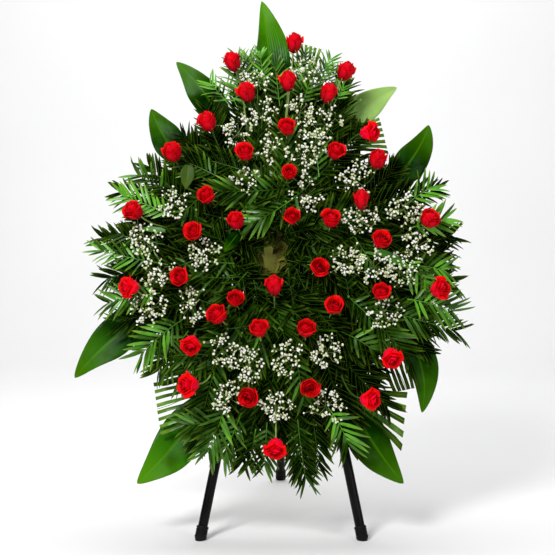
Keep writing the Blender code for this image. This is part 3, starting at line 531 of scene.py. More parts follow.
def tube_along(sheaf: Sheaf, path: np.ndarray, radius: float | tuple[float, float], sides: int,
               tone: float) -> None:
    """Plants a tube that follows a path.

    Args:
        sheaf: Where it goes.
        path: The points of its middle line.
        radius: Its radius, or the radius at its start and at its end.
        sides: Number of long sides.
        tone: How light it is.
    """
    stamp = tube_stamp(sides, len(path) - 1)
    first, last = radius if isinstance(radius, tuple) else (radius, radius)
    ahead = np.gradient(path, axis=0)
    ahead /= np.linalg.norm(ahead, axis=1)[:, None] + 1e-12
    side = unit(np.cross(ahead[0], (0.31, 0.52, 0.79)))
    sides_at, ups_at = [], []
    for step in ahead:
        side = unit(side - step * side.dot(step))
        sides_at.append(side)
        ups_at.append(np.cross(step, side))
    index = np.rint(stamp.along * (len(path) - 1)).astype(int)
    girth = (first + (last - first) * stamp.along)[:, None]
    points = path[index] + girth * (stamp.across[:, None] * np.array(sides_at)[index]
                                    + stamp.rise[:, None] * np.array(ups_at)[index])
    sheaf.plant(stamp, points, tone)


def smooth_path(corners: list[np.ndarray], steps: int) -> np.ndarray:
    """A Bezier curve through its first and last point.

    Args:
        corners: Three or four control points.
        steps: Number of stretches.

    Returns:
        The points along it.
    """
    t = np.linspace(0, 1, steps + 1)[:, None]
    level = [np.repeat(c[None, :].astype(float), steps + 1, axis=0) for c in corners]
    while len(level) > 1:
        level = [a * (1 - t) + b * t for a, b in zip(level, level[1:])]
    return level[0]


# Materials


class Board:
    """A short way to lay out the nodes of one tree."""

    def __init__(self, tree: bpy.types.NodeTree) -> None:
        """Works on this tree."""
        self.tree = tree

    def put(self, kind: str, settings: dict | None = None, **values: object) -> bpy.types.Node:
        """Adds a node.

        Args:
            kind: Blender's name of the node type, without its prefix.
            settings: Properties of the node itself.
            **values: Inputs by name with _ for a space, or by number as i0, i1 and so on.

        Returns:
            The new node.
        """
        prefix = "" if kind.startswith("NodeGroup") else "ShaderNode"
        node = self.tree.nodes.new(prefix + kind)
        for key, value in (settings or {}).items():
            setattr(node, key, value)
        for key, value in values.items():
            numbered = key[0] == "i" and key[1:].isdigit()
            self.feed(node.inputs[int(key[1:]) if numbered else key.replace("_", " ")], value)
        return node

    def feed(self, socket: bpy.types.NodeSocket, value: object) -> None:
        """Joins an output to an input, or sets the input to a value."""
        if isinstance(value, bpy.types.NodeSocket):
            self.tree.links.new(value, socket)
        else:
            socket.default_value = value

    def mix(self, share: object, first: object, second: object, blend: str = "MIX") -> bpy.types.NodeSocket:
        """Returns the colour between two colours by a share."""
        node = self.put("Mix", {"data_type": "RGBA", "blend_type": blend})
        for number, value in ((0, share), (6, first), (7, second)):
            self.feed(node.inputs[number], value)
        return node.outputs[2]

    def maths(self, operation: str, first: object, second: object = 0.5,
              third: object = 0.0) -> bpy.types.NodeSocket:
        """Returns the result of one sum."""
        return self.put("Math", {"operation": operation}, i0=first, i1=second, i2=third).outputs[0]

    def ranged(self, value: object, low: object, high: float, to_low: float = 0.0,
               to_high: float = 1.0) -> bpy.types.NodeSocket:
        """Returns the value mapped from one range to another, held at its ends."""
        return self.put("MapRange", None, Value=value, From_Min=low, From_Max=high, To_Min=to_low,
                        To_Max=to_high).outputs[0]

    def noise(self, place: bpy.types.NodeSocket, scale: object, detail: float) -> bpy.types.NodeSocket:
        """Returns cloudy noise over the surface."""
        return self.put("TexNoise", None, Vector=place, Scale=scale, Detail=detail).outputs["Fac"]

    def about(self, value: bpy.types.NodeSocket, swing: float, middle: object) -> bpy.types.NodeSocket:
        """Returns a value that swings about a middle as the noise does about its own."""
        return self.maths("MULTIPLY_ADD", self.maths("SUBTRACT", value, 0.5), swing, middle)


def new_group(name: str, inputs: dict[str, object],
              outputs: dict[str, str]) -> tuple[bpy.types.NodeTree, Board, bpy.types.Node]:
    """Starts a shader group with named sockets.

    Args:
        name: Name of the group.
        inputs: Default of each input; a tuple is a colour.
        outputs: Socket type of each output, Color or Float.

    Returns:
        The group, its board and its input node.
    """
    tree = bpy.data.node_groups.new(name, "ShaderNodeTree")
    for key, value in inputs.items():
        kind = "NodeSocketColor" if isinstance(value, tuple) else "NodeSocketFloat"
        tree.interface.new_socket(key, in_out="INPUT", socket_type=kind).default_value = value
    for key, kind in outputs.items():
        tree.interface.new_socket(key, in_out="OUTPUT", socket_type=f"NodeSocket{kind}")
    board = Board(tree)
    return tree, board, board.put("NodeGroupInput")


def close_group(board: Board, **results: bpy.types.NodeSocket) -> None:
    """Joins the results to the group's outputs."""
    out = board.put("NodeGroupOutput")
    for key, socket in results.items():
        board.tree.links.new(socket, out.inputs[key.replace("_", " ")])


def rgb(red: float, green: float, blue: float) -> tuple[float, float, float, float]:
    """Returns an opaque colour."""
    return (red, green, blue, 1.0)


@lru_cache(maxsize=None)
def blade_group() -> bpy.types.NodeTree:
    """Returns the group for leaf blades: tone by plant, which for the palm also carries painted shade and
    painted light, veins along the blade and a lighter tip.
    """
    tree, board, given = new_group(
        "leaf_blade",
        {"Dark": rgb(0, 0, 0), "Light": rgb(1, 1, 1), "Tip": rgb(1, 1, 1), "Tip Start": 0.6,
         "Veins": 20.0, "Patches": 30.0, "Gloss": 0.4},
        {"Color": "Color", "Roughness": "Float", "Height": "Float", "Gloss Share": "Float"},
    )
    # The tone is random per plant; for the palm fronds it also carries painted shade deep in the wreath and
    # towards its middle, and painted light near its rim.
    tone = board.put("Attribute", {"attribute_name": "tone"}).outputs["Fac"]
    uv = board.put("UVMap", {"uv_map": "UVMap"}).outputs[0]
    parts = board.put("SeparateXYZ", None, Vector=uv)
    across, along = parts.outputs[0], parts.outputs[1]
    place = board.put("TexCoord").outputs["Object"]
    patch = board.noise(place, given.outputs["Patches"], 3.0)
    patched = board.maths("MULTIPLY", tone, board.ranged(patch, 0.32, 0.68, 0.4, 1.7))
    shade = board.maths("POWER", patched, 1.8)
    colour = board.mix(board.ranged(shade, 0.0, 1.0), given.outputs["Dark"], given.outputs["Light"])
    tip = board.ranged(along, given.outputs["Tip Start"], 1.05)
    tipped = board.maths("MULTIPLY", tip, board.ranged(tone, 0.1, 0.8, 0.15, 0.9))
    colour = board.mix(tipped, colour, given.outputs["Tip"])
    turns = board.maths("MULTIPLY", given.outputs["Veins"], FULL_TURN)
    line = board.maths("SINE", board.maths("MULTIPLY", across, turns))
    stripe = board.maths("MULTIPLY_ADD", line, 0.5, 0.5)
    fine = board.noise(place, 900.0, 2.0)
    colour = board.mix(board.maths("MULTIPLY", stripe, 0.22), colour, board.mix(0.6, colour, rgb(0, 0, 0)))
    middle = board.ranged(board.maths("ABSOLUTE", board.maths("SUBTRACT", across, 0.5)), 0.0, 0.05, 1.0, 0.0)
    colour = board.mix(board.maths("MULTIPLY", middle, 0.35), colour, given.outputs["Tip"])
    rough = board.about(patch, 0.3, board.about(fine, 0.25, given.outputs["Gloss"]))
    height = board.maths("MULTIPLY_ADD", stripe, 0.6, board.maths("MULTIPLY", fine, 0.4))
    shine = board.ranged(shade, 0.08, 0.42, 0.0, 2.3)
    close_group(board, Color=colour, Roughness=rough, Height=height, Gloss_Share=shine)
    return tree


@lru_cache(maxsize=None)
def wear_group() -> bpy.types.NodeTree:
    """Returns the group for made surfaces: fine grain, and dust that gathers in soft patches."""
    tree, board, given = new_group(
        "fine_grain",
        {"Base": rgb(0.5, 0.5, 0.5), "Dust": rgb(0.5, 0.5, 0.5), "Dust Share": 0.1, "Gloss": 0.4,
         "Scale": 400.0},
        {"Color": "Color", "Roughness": "Float", "Height": "Float"},
    )
    place = board.put("TexCoord").outputs["Object"]
    cloud = board.noise(place, 14.0, 4.0)
    grain = board.noise(place, given.outputs["Scale"], 3.0)
    share = board.maths("MULTIPLY", board.ranged(cloud, 0.45, 0.75), given.outputs["Dust Share"])
    colour = board.mix(share, given.outputs["Base"], given.outputs["Dust"])
    rough = board.about(grain, 0.12, board.about(cloud, 0.35, given.outputs["Gloss"]))
    close_group(board, Color=colour, Roughness=rough, Height=grain)
    return tree


def new_material(name: str) -> tuple[bpy.types.Material, Board, bpy.types.Node]:
    """Returns a fresh material, its board and its shader."""
    made = bpy.data.materials.new(name)
    made.use_nodes = True
    return made, Board(made.node_tree), made.node_tree.nodes["Principled BSDF"]


def dress(board: Board, shader: bpy.types.Node, source: bpy.types.Node, depth: float) -> None:
    """Joins a group's colour, roughness and height to a shader.

    Args:
        board: The material's board.
        shader: Its Principled shader.
        source: The group node.
        depth: Height of the relief in millimetres.
    """
    bump = board.put("Bump", None, Height=source.outputs["Height"], Distance=depth * MM, Strength=0.8)
    for key in ("Color", "Roughness"):
        board.tree.links.new(source.outputs[key], shader.inputs["Base Color" if key == "Color" else key])
    board.tree.links.new(bump.outputs[0], shader.inputs["Normal"])


@dataclass(frozen=True)
class Finish:
    """A finish, whose material is made at its first use."""

    name: str

    def material(self) -> bpy.types.Material:
        """Returns the material, made once."""
        if self.name in bpy.data.materials:
            return bpy.data.materials[self.name]
        made, board, shader = new_material(self.name)
        self.paint(board, shader)
        return made

    def paint(self, board: Board, shader: bpy.types.Node) -> None:
        """Lays out the nodes round the material's shader."""
        raise NotImplementedError


@dataclass(frozen=True)
class BladeFinish(Finish):
    """The finish of a leaf blade."""

    dark: Triple
    light: Triple
    tip: Triple
    tip_start: float = 0.55
    veins: float = 6.0
    patches: float = 12.0
    gloss: float = 0.4
    relief: float = 0.15
    specular: float = 0.3

    def paint(self, board: Board, shader: bpy.types.Node) -> None:
        """Lays out veins, patches and a lighter tip."""
        source = board.put("Group", {"node_tree": blade_group()}, Dark=rgb(*self.dark),
                           Light=rgb(*self.light), Tip=rgb(*self.tip), Tip_Start=self.tip_start,
                           Veins=self.veins, Patches=self.patches, Gloss=self.gloss)
        dress(board, shader, source, self.relief)
        gloss = board.maths("MULTIPLY", source.outputs["Gloss Share"], self.specular)
        board.tree.links.new(gloss, shader.inputs["Specular IOR Level"])


@dataclass(frozen=True)
class HardFinish(Finish):
    """The finish of a made part: metal, rubber, straw or twine."""

    base: Triple
    dust: Triple = (0.4, 0.38, 0.34)
    dust_share: float = 0.1
    gloss: float = 0.4
    metallic: float = 0.0
    specular: float = 0.5
    grain: float = 500.0
    relief: float = 0.05

    def paint(self, board: Board, shader: bpy.types.Node) -> None:
        """Lays out fine grain with some dust over it."""
        source = board.put("Group", {"node_tree": wear_group()}, Base=rgb(*self.base),
                           Dust=rgb(*self.dust), Dust_Share=self.dust_share, Gloss=self.gloss,
                           Scale=self.grain)
        dress(board, shader, source, self.relief)
        shader.inputs["Metallic"].default_value = self.metallic
        shader.inputs["Specular IOR Level"].default_value = self.specular


@dataclass(frozen=True)
class PetalFinish(Finish):
    """The finish of one face of a rose petal: painted shade at its foot, along its sides and on its inner
    rows, a painted lit tint on hanging blooms, fine veins and a soft nap.
    """

    # The foot colour is painted shade deep in the bloom, the shadow colour painted shadow where petals
    # overlap, and the last colour a painted lit tint on the outer petals of hanging blooms.
    foot: Triple
    face: Triple
    lip: Triple
    sheen: float = 0.25
    low: float = 0.35
    side_shadow_share: float = 0.6
    shadow: Triple = (0.16, 0.0, 0.002)
    painted_light: Triple = (0.9, 0.0008, 0.004)

    def paint(self, board: Board, shader: bpy.types.Node) -> None:
        """Lays out painted shade at the foot, along the sides and on the inner rows, painted light on
        hanging blooms, lips, veins and a soft nap.
        """
        uv = board.put("UVMap", {"uv_map": "UVMap"}).outputs[0]
        parts = board.put("SeparateXYZ", None, Vector=uv)
        place = board.put("TexCoord").outputs["Object"]
        cloud = board.noise(place, 90.0, 3.0)
        # Painted shade: the petal darkens towards its foot.
        colour = board.mix(board.ranged(parts.outputs[1], self.low, 0.82), rgb(*self.foot), rgb(*self.face))
        lip = board.ranged(parts.outputs[1], 0.86, 1.0)
        lip = board.maths("MULTIPLY", lip, board.ranged(cloud, 0.35, 0.6))
        colour = board.mix(lip, colour, rgb(*self.lip))
        colour = board.mix(board.ranged(cloud, 0.3, 0.7, 0.0, 0.22), colour, rgb(*self.foot))
        side = board.maths("ABSOLUTE", board.maths("SUBTRACT", parts.outputs[0], 0.5))
        # Painted shadow along each petal's sides, where the next petals overlap.
        colour = board.mix(board.ranged(side, 0.30, 0.5, 0.0, self.side_shadow_share), colour, rgb(*self.shadow))
        row = board.put("Attribute", {"attribute_name": "tone"}).outputs["Fac"]
        # Painted shade on the inner rows, then a painted lit tint on the outer petals of hanging blooms,
        # read from the tone.
        colour = board.mix(board.ranged(row, 0.0, 0.35, 0.6, 0.0), colour, rgb(*self.foot))
        colour = board.mix(board.ranged(row, 1.1, 1.7), colour, rgb(*self.painted_light))
        line = board.maths("SINE", board.maths("MULTIPLY", parts.outputs[0], 150.0))
        fine = board.noise(place, 1500.0, 2.0)
        height = board.maths("MULTIPLY_ADD", line, 0.3, fine)
        rough = board.ranged(cloud, 0.2, 0.8, 0.46, 0.68)
        bump = board.put("Bump", None, Height=height, Distance=0.06 * MM, Strength=0.7)
        for socket, key in ((colour, "Base Color"), (rough, "Roughness"), (bump.outputs[0], "Normal")):
            board.tree.links.new(socket, shader.inputs[key])
        shader.inputs["Sheen Weight"].default_value = self.sheen
        shader.inputs["Sheen Tint"].default_value = rgb(1.0, 0.12, 0.12)
        shader.inputs["Specular IOR Level"].default_value = 0.07


PALM_FINISH = BladeFinish(
    "palm_leaflet", (0.0002, 0.0018, 0.0001), (0.100, 0.360, 0.011), (0.22, 0.42, 0.03),
    gloss=0.31, veins=3.0, specular=0.15)
DRY_FINISH = BladeFinish(
    "dry_palm_leaflet", (0.07, 0.066, 0.011), (0.21, 0.21, 0.033), (0.25, 0.24, 0.045),
    gloss=0.7, veins=3.0, specular=0.03)
LEAF_FINISH = BladeFinish(
    "aspidistra_blade", (0.0005, 0.008, 0.0002), (0.016, 0.115, 0.0005), (0.092, 0.31, 0.0015),
    tip_start=0.45, veins=17.0, patches=16.0, gloss=0.26, relief=0.4, specular=0.03)
PALE_LEAF_FINISH = BladeFinish(
    "pale_leaf_back", (0.14, 0.29, 0.04), (0.26, 0.46, 0.09), (0.30, 0.50, 0.11),
    tip_start=0.5, veins=15.0, patches=12.0, gloss=0.6, relief=0.2, specular=0.2)
FRESH_FINISH = BladeFinish(
    "fresh_blade", (0.01, 0.06, 0.001), (0.055, 0.25, 0.006), (0.09, 0.32, 0.012),
    veins=9.0, gloss=0.35, specular=0.12)
OLIVE_FINISH = BladeFinish(
    "rose_foliage", (0.02, 0.048, 0.003), (0.06, 0.12, 0.006), (0.10, 0.15, 0.012),
    veins=9.0, specular=0.04)
STEM_FINISH = BladeFinish(
    "rose_stem", (0.02, 0.07, 0.008), (0.26, 0.38, 0.08), (0.36, 0.46, 0.12),
    tip_start=0.9, veins=2.0, gloss=0.45)
STALK_FINISH = BladeFinish(
    "gypsophila_stalk", (0.10, 0.19, 0.03), (0.36, 0.44, 0.12), (0.5, 0.55, 0.25),
    tip_start=0.7, veins=1.0, gloss=0.55)
FLORET_FINISH = BladeFinish(
    "gypsophila_floret", (0.60, 0.68, 0.34), (0.99, 0.99, 0.93), (0.99, 0.99, 0.95),
    tip_start=0.9, veins=2.0, gloss=0.65, patches=200.0)
PETAL_FACE = PetalFinish(
    "rose_petal_face", (0.07, 0.0, 0.001), (0.86, 0.0006, 0.003), (0.66, 0.0006, 0.004),
    sheen=0.02)
# The back's last colour is a pinker painted lit tint for hanging blooms.
PETAL_BACK = PetalFinish(
    "rose_petal_back", (0.20, 0.0006, 0.006), (0.82, 0.0008, 0.011), (0.56, 0.0008, 0.010),
    sheen=0.02, low=-0.1, painted_light=(0.92, 0.0008, 0.034))
ENAMEL = HardFinish("satin_black_enamel", (0.0025, 0.0025, 0.003), dust_share=0.01, gloss=0.34,
                    relief=0.03, specular=0.12)
RUBBER = HardFinish("ribbed_rubber", (0.004, 0.004, 0.004), dust_share=0.03, gloss=0.6,
                    grain=900.0, relief=0.12, specular=0.14)
ZINC = HardFinish("zinc_plate", (0.55, 0.55, 0.53), dust_share=0.15, gloss=0.36, metallic=1.0)
STRAW = HardFinish("straw", (0.33, 0.27, 0.12), (0.16, 0.15, 0.05), dust_share=0.8, gloss=0.8,
                   grain=260.0, relief=0.4)
TWINE = HardFinish("green_twine", (0.05, 0.10, 0.03), (0.2, 0.2, 0.08), dust_share=0.3,
                   gloss=0.75, grain=700.0, relief=0.3)


def make_piece(name: str, mesh: bpy.types.Mesh, materials: tuple[bpy.types.Material, ...],
               body: Body = Body.STAND, nodes: tuple[str, ...] = ()) -> bpy.types.Object:
    """Makes a mesh a piece of the wreath.

    Args:
        name: Name of the piece.
        mesh: Its mesh, already in the CAD frame.
        materials: Its materials.
        body: The body it rides on.
        nodes: The CAD nodes it stands for.

    Returns:
        The new object.
    """
    piece = bpy.data.objects.new(name, mesh)
    bpy.context.scene.collection.objects.link(piece)
    for material in materials:
        mesh.materials.append(material)
    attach(piece, body.value)
    if nodes:
        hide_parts(*nodes)
    LOG.info("%s: %d faces, stands for %s", name, len(mesh.polygons), ", ".join(nodes) or "nothing")
    return piece


def thicken(piece: bpy.types.Object, thickness: float, second_material: bool = False) -> None:
    """Gives a sheet its thickness.

    Args:
        piece: The sheet.
        thickness: In millimetres.
        second_material: Whether its back takes the second material.
    """
    wall = piece.modifiers.new("thickness", "SOLIDIFY")
    wall.thickness = thickness * MM
    wall.offset = 0.0
    wall.use_even_offset = False
    wall.material_offset = 1 if second_material else 0


# Keeping clear


@dataclass(frozen=True)
class Clearance:
    """The blooms that leaves have to leave room for, and how far they stay from them."""

    centres: np.ndarray
    radius: float

    def hit(self, points: np.ndarray) -> bool:
        """Returns whether any point is inside a bloom."""
        gap = np.linalg.norm(points[:, None, :] - self.centres[None, :, :], axis=2)
        return bool((gap < self.radius).any())


# Palm


@dataclass(frozen=True)
class Frond:
    """One palm frond: a rib with leaflets down both sides."""

    u: float
    v: float
    heading: float
    length: float
    bend: float = 0.0
    reach: float = 76.0
    level: float = 60.0
    tone: float = 0.4
    roll: float = 0.0
    fall: float = 12.0
    width: float = 10.0
    dry: bool = False
    bare: float = 14.0
    spacing: float = 13.0

    def rib(self, steps: int = 18) -> np.ndarray:
        """Returns the points of the rib, on the dome."""
        turns = np.radians(self.heading + self.bend * (np.arange(steps) + 0.5) / steps)
        stride = self.length / steps
        u = self.u + np.concatenate(([0], np.cumsum(np.cos(turns)))) * stride
        v = self.v + np.concatenate(([0], np.cumsum(np.sin(turns)))) * stride
        share = np.linspace(0, 1, steps + 1)
        return PLANE.on_dome(u, v, self.level - self.fall * share ** 2)

    def grow(self, sheaf: Sheaf, blooms: Clearance, draw: random.Random) -> None:
        """Plants the rib and its leaflets.

        Args:
            sheaf: Where they go.
            blooms: What they keep clear of.
            draw: Source of chance.
        """
        rib = self.rib()
        if not PLANE.in_opening(rib, 1.5, self.dry):
            tube_along(sheaf, rib[::3], (1.5, 0.5), 4, min(1.0, self.tone + 0.25))
        leafy = self.length - self.bare
        pairs = max(4, round(leafy / self.spacing))
        ahead_all = np.gradient(rib, axis=0)
        for k in range(pairs + 1):
            share = min(1.0, (self.bare + (k + 0.4) * leafy / pairs) / self.length)
            at = share * (len(rib) - 1)
            i = min(int(at), len(rib) - 2)
            base = rib[i] + (rib[i + 1] - rib[i]) * (at - i)
            ahead = unit(ahead_all[i])
            up = spun(unit(upward(1.0) - ahead * ahead[2]), ahead, self.roll)
            left = np.cross(up, ahead)
            grown = k / pairs
            size = self.reach * (0.55 + 0.95 * grown if grown < 0.5 else 1.22 - 0.42 * grown)
            for sign in (1.0, -1.0):
                lean = math.radians(60 - 32 * grown + draw.uniform(-6, 6))
                lift = math.radians(draw.uniform(-4, 20))
                out = math.cos(lean) * ahead + math.sin(lean) * sign * left
                out = unit(out * math.cos(lift) + up * math.sin(lift))
                normal = unit(np.cross(out, sign * ahead)) * sign
                if normal.dot(up) < 0:
                    normal = -normal
                normal = spun(normal, out, draw.uniform(-24, 24))
                side = np.cross(normal, out)
                grown_size = size * draw.uniform(0.88, 1.08)
                tone = clamp(self.tone * draw.uniform(0.35, 1.65) + draw.uniform(-0.02, 0.02))
                self.leaflet(sheaf, blooms, base, out, side, normal, grown_size, sign, tone, draw)

    def leaflet(self, sheaf: Sheaf, blooms: Clearance, base: np.ndarray, out: np.ndarray, side: np.ndarray,
                normal: np.ndarray, size: float, sign: float, tone: float, draw: random.Random) -> None:
        """Plants one leaflet, unless it would stand in a bloom or in the hole.

        Args:
            sheaf: Where it goes.
            blooms: What it keeps clear of.
            base: Where it leaves the rib.
            out: Direction it grows in.
            side: Direction across it.
            normal: Direction its face looks.
            size: Its length.
            sign: 1 on the left of the rib, -1 on the right.
            tone: How light it is.
            draw: Source of chance.
        """
        stamp = leaflet_stamp()
        half = self.width / 2 * (0.72 + 0.25 * size / self.reach)
        t = stamp.along
        x = t * size
        y = stamp.across * half - sign * draw.uniform(0.02, 0.10) * size * t ** 2
        cupped = np.abs(stamp.across) * draw.uniform(1.0, 2.8)
        z = stamp.rise * 0.45 + cupped - draw.uniform(0.06, 0.26) * size * t ** 2
        points = base + x[:, None] * out + y[:, None] * side + z[:, None] * normal
        if blooms.hit(points) or PLANE.in_opening(points, draw.uniform(-10.0, 1.0), self.dry):
            return
        sheaf.plant(stamp, points, tone)


@dataclass
class PalmBunches:
    """The twelve bunches of palm, and the fronds that fill between them."""

    blooms: Clearance
    stub_radius: float = 222.0
    spread: float = 11.0
    lowest: float = 42.0
    pitch: float = 7.5
    depth: float = 55.0
    inner_length: float = 112.0
    inner_turn: float = 122.0
    inner_reach: float = 54.0
    inner_bend: float = 30.0
    small_leaflets: tuple[int, ...] = (60, 90)
    lighter: dict[int, float] = field(default_factory=lambda: {0: 0.85, 30: 0.8, 60: 1.6, 90: 1.6, 330: 0.8})
    usual_lightness: float = 1.08
    lining_fronds: int = 44
    lining_radius: float = 119.0
    hanging_fronds: int = 9
    draw: random.Random = field(default_factory=lambda: random.Random(27))

    def tone_with_painted_shade(self, u: float, v: float, level: float) -> float:
        """Returns how light a frond is: random tone, with painted shade towards the middle of the wreath and
        deep down, and painted light near the rim.
        """
        out = min(1.0, math.hypot(u, v) / palm_edge(math.degrees(math.atan2(v, u))))
        rim = max(0.0, out - 0.72) / 0.28
        high = clamp((level - self.lowest) / self.depth)
        # Painted shade: the tone drops under the top level and towards the middle; painted light: fronds
        # near the rim stay lighter.
        painted_lighting = max(high ** 1.8, 0.6 * rim) * (0.35 + 0.65 * out)
        return clamp(0.004 + 0.27 * painted_lighting * self.draw.uniform(0.25, 1.8))

    def main_fronds(self, number: int) -> list[Frond]:
        """Returns the three fronds that the CAD bunch has."""
        angle, clockwise, other, reach = PALM_BUNCHES[number]
        stub = polar(self.stub_radius, angle)
        group = self.lowest + self.pitch * 3 * (number % 3)
        tip = stub + polar(other, angle)
        tone = self.tone_with_painted_shade(*tip, 66.0)
        return [
            Frond(stub[0], stub[1], angle + self.spread, other, 6.0, reach, group, tone),
            Frond(stub[0], stub[1], angle - self.spread, clockwise, -6.0, reach, group + self.pitch, tone),
            # The frond turned in towards the middle gets a fixed dark tone: painted shade inside the wreath.
            Frond(stub[0], stub[1], angle + self.inner_turn, self.inner_length, self.inner_bend,
                  self.inner_reach, group + 2 * self.pitch, 0.15),
        ]

    def filling(self, number: int) -> list[Frond]:
        """Returns the fronds that fill the sector of one bunch, from the rim inwards."""
        middle = PALM_BUNCHES[number][0]
        made = []
        for count, radius, share, low, high, swing in FILLING_ROWS:
            for k in range(count):
                angle = middle + 30.0 * ((k + 0.5) / count - 0.5) + self.draw.uniform(-5, 5)
                start = polar(radius + self.draw.uniform(-18, 18), angle)
                heading = angle + self.draw.uniform(-swing, swing)
                goal = palm_edge(angle + (heading - angle) * 0.5) * share * self.draw.uniform(0.92, 1.03)
                small = middle in self.small_leaflets and share > 0.7
                reach = self.draw.uniform(44, 62) if small else self.draw.uniform(64, 84)
                length = max(70.0, goal - radius - reach * 0.62)
                end = start + polar(length, heading)
                level = self.draw.uniform(low, high)
                bend = self.draw.uniform(-18, 18)
                tone = self.tone_with_painted_shade(*end, level) * self.lighter.get(middle, self.usual_lightness)
                made.append(Frond(start[0], start[1], heading, length, bend, reach, level, tone,
                                  self.draw.uniform(-14, 14), self.draw.uniform(6, 26)))
        return made + [self.inward(middle + 5.0 * (k - 3.0)) for k in range(7)]

    def inward(self, angle: float) -> Frond:
        """Returns a short frond that turns in towards the hole, near this angle, with a very low tone that
        is painted shade.
        """
        angle += self.draw.uniform(-3, 3)
        start = polar(self.draw.uniform(112, 165), angle)
        heading = angle + 180 + self.draw.uniform(-55, 55)
        return Frond(start[0], start[1], heading, self.draw.uniform(64, 104), self.draw.uniform(-30, 30),
                     self.draw.uniform(44, 60), self.draw.uniform(46, 100), self.draw.uniform(0.0, 0.14),
                     self.draw.uniform(-20, 20), self.draw.uniform(6, 44), 8.5)

    def build(self) -> None:
        """Makes the pieces of every bunch."""
        for number, (angle, *_) in enumerate(PALM_BUNCHES):
            bunch, filling = Sheaf(), Sheaf()
            fronds = self.main_fronds(number)
            stub = polar(self.stub_radius, angle)
            tube_along(bunch, np.array([(*stub, 7.0), (*stub, fronds[2].level + 2)]), (3.4, 3.0), 6, 0.4)
            for frond in fronds:
                frond.grow(bunch, self.blooms, self.draw)
            for frond in self.filling(number):
                frond.grow(filling, self.blooms, self.draw)
            finish = (PALM_FINISH.material(),)
            make_piece(f"palm_fronds_{number + 1:02d}", bunch.mesh("palm_fronds"), finish,
                       nodes=(f"palm_bunch_{number + 1:02d}",))
            make_piece(f"palm_filling_{number + 1:02d}", filling.mesh("palm_filling"), finish)
        self.showy()
        self.lining()

    def showy(self) -> None:
        """Makes the fronds that stand out in the front."""
        sheaf = Sheaf()
        for row in SHOWY_FRONDS:
            Frond(*row).grow(sheaf, self.blooms, self.draw)
        make_piece("front_fronds", sheaf.mesh("front_fronds"), (PALM_FINISH.material(),))

    def lining(self) -> None:
        """Makes the dry olive leaflets deep round the hole, and those that hang at its right."""
        sheaf = Sheaf()
        for k in range(self.lining_fronds):
            angle = 360.0 * k / self.lining_fronds + self.draw.uniform(-4, 4)
            start = polar(self.lining_radius, angle)
            frond = Frond(start[0], start[1], angle + 180 + self.draw.uniform(-30, 30),
                          self.draw.uniform(60, 92), self.draw.uniform(-20, 20), 54.0,
                          self.draw.uniform(-22, 22), self.draw.uniform(0.4, 0.9),
                          self.draw.uniform(-10, 10), 4.0, 12.0, True)
            frond.grow(sheaf, self.blooms, self.draw)
        for k in range(self.hanging_fronds):
            frond = Frond(self.draw.uniform(14, 40), 112.0 - 4 * k, -90 + self.draw.uniform(-8, 8),
                          150.0 - 6 * k, 0.0, 40.0, self.draw.uniform(-4, 14),
                          self.draw.uniform(0.6, 0.9), 0.0, 4.0, 14.0, True)
            frond.grow(sheaf, self.blooms, self.draw)
        make_piece("dry_lining", sheaf.mesh("dry_lining"), (DRY_FINISH.material(),))


@dataclass
class TrimmedPalm:
    """Palm leaves with their leaflets cut square along one edge."""

    rib_radius: float = 2.0
    draw: random.Random = field(default_factory=lambda: random.Random(5))

    def build(self) -> None:
        """Makes one piece for each trimmed leaf."""
        sheaves: dict[int, Sheaf] = {}
        for number, count, half, level, tone, *corners in CUT_LEAFLETS:
            sheaf = sheaves.setdefault(number, Sheaf())
            first_root, last_root, first_end, last_end = (
                np.array((*corner, float(level))) for corner in corners)
            cut = unit(last_end - first_end)
            middle = (first_root + last_root) / 2
            under = unit(middle * (1, 1, 0)) * min(240.0, np.linalg.norm(middle[:2]) - 60)
            rib = smooth_path([under + upward(level - 2.0), middle, (first_end + last_end) / 2], 8)
            tube_along(sheaf, rib, (self.rib_radius, 0.8), 6, 0.4)
            for k in range(count):
                share = k / (count - 1)
                end = first_end + (last_end - first_end) * share + upward(self.draw.uniform(-5, 3))
                root = first_root + (last_root - first_root) * share
                wide = half * self.draw.uniform(0.88, 1.08)
                lightness = clamp(tone + self.draw.uniform(-0.22, 0.22))
                bow = share - 0.5 + self.draw.uniform(-0.3, 0.3)
                self.strap(sheaf, root, end, cut, wide, lightness, bow)
        for number, sheaf in sheaves.items():
            make_piece(f"square_palm_{number}", sheaf.mesh("square_palm"), (PALM_FINISH.material(),),
                       nodes=(f"trimmed_palm_{number}",))

    def strap(self, sheaf: Sheaf, root: np.ndarray, end: np.ndarray, cut: np.ndarray, half: float,
              tone: float, bow: float) -> None:
        """Plants one trimmed leaflet.

        Args:
            sheaf: Where it goes.
            root: Where it leaves the rib.
            end: Middle of its square end.
            cut: Direction of the cut.
            half: Half its width.
            tone: How light it is.
            bow: How far it bows to one side, in centimetres.
        """
        stamp = strap_stamp()
        ahead = unit(end - root)
        up = spun(upward(1.0), ahead, self.draw.uniform(-14, 14))
        up = unit(up - ahead * up.dot(ahead))
        side = np.cross(up, ahead)
        size = np.linalg.norm(end - root)
        t = stamp.along
        z = stamp.rise * 0.5 + np.abs(stamp.across) * 1.5 - 0.02 * size * t ** 2
        lean = float(np.clip(cut.dot(ahead) / (abs(cut.dot(side)) + 0.2), -1, 1))
        skew = (t > 0.99) * stamp.across * half * lean * math.copysign(1, cut.dot(side))
        bowed = stamp.across * half + bow * 10 * np.sin(math.pi * t)
        points = root + (t * size + skew)[:, None] * ahead + bowed[:, None] * side
        sheaf.plant(stamp, points + z[:, None] * up, tone)


# Broad leaves


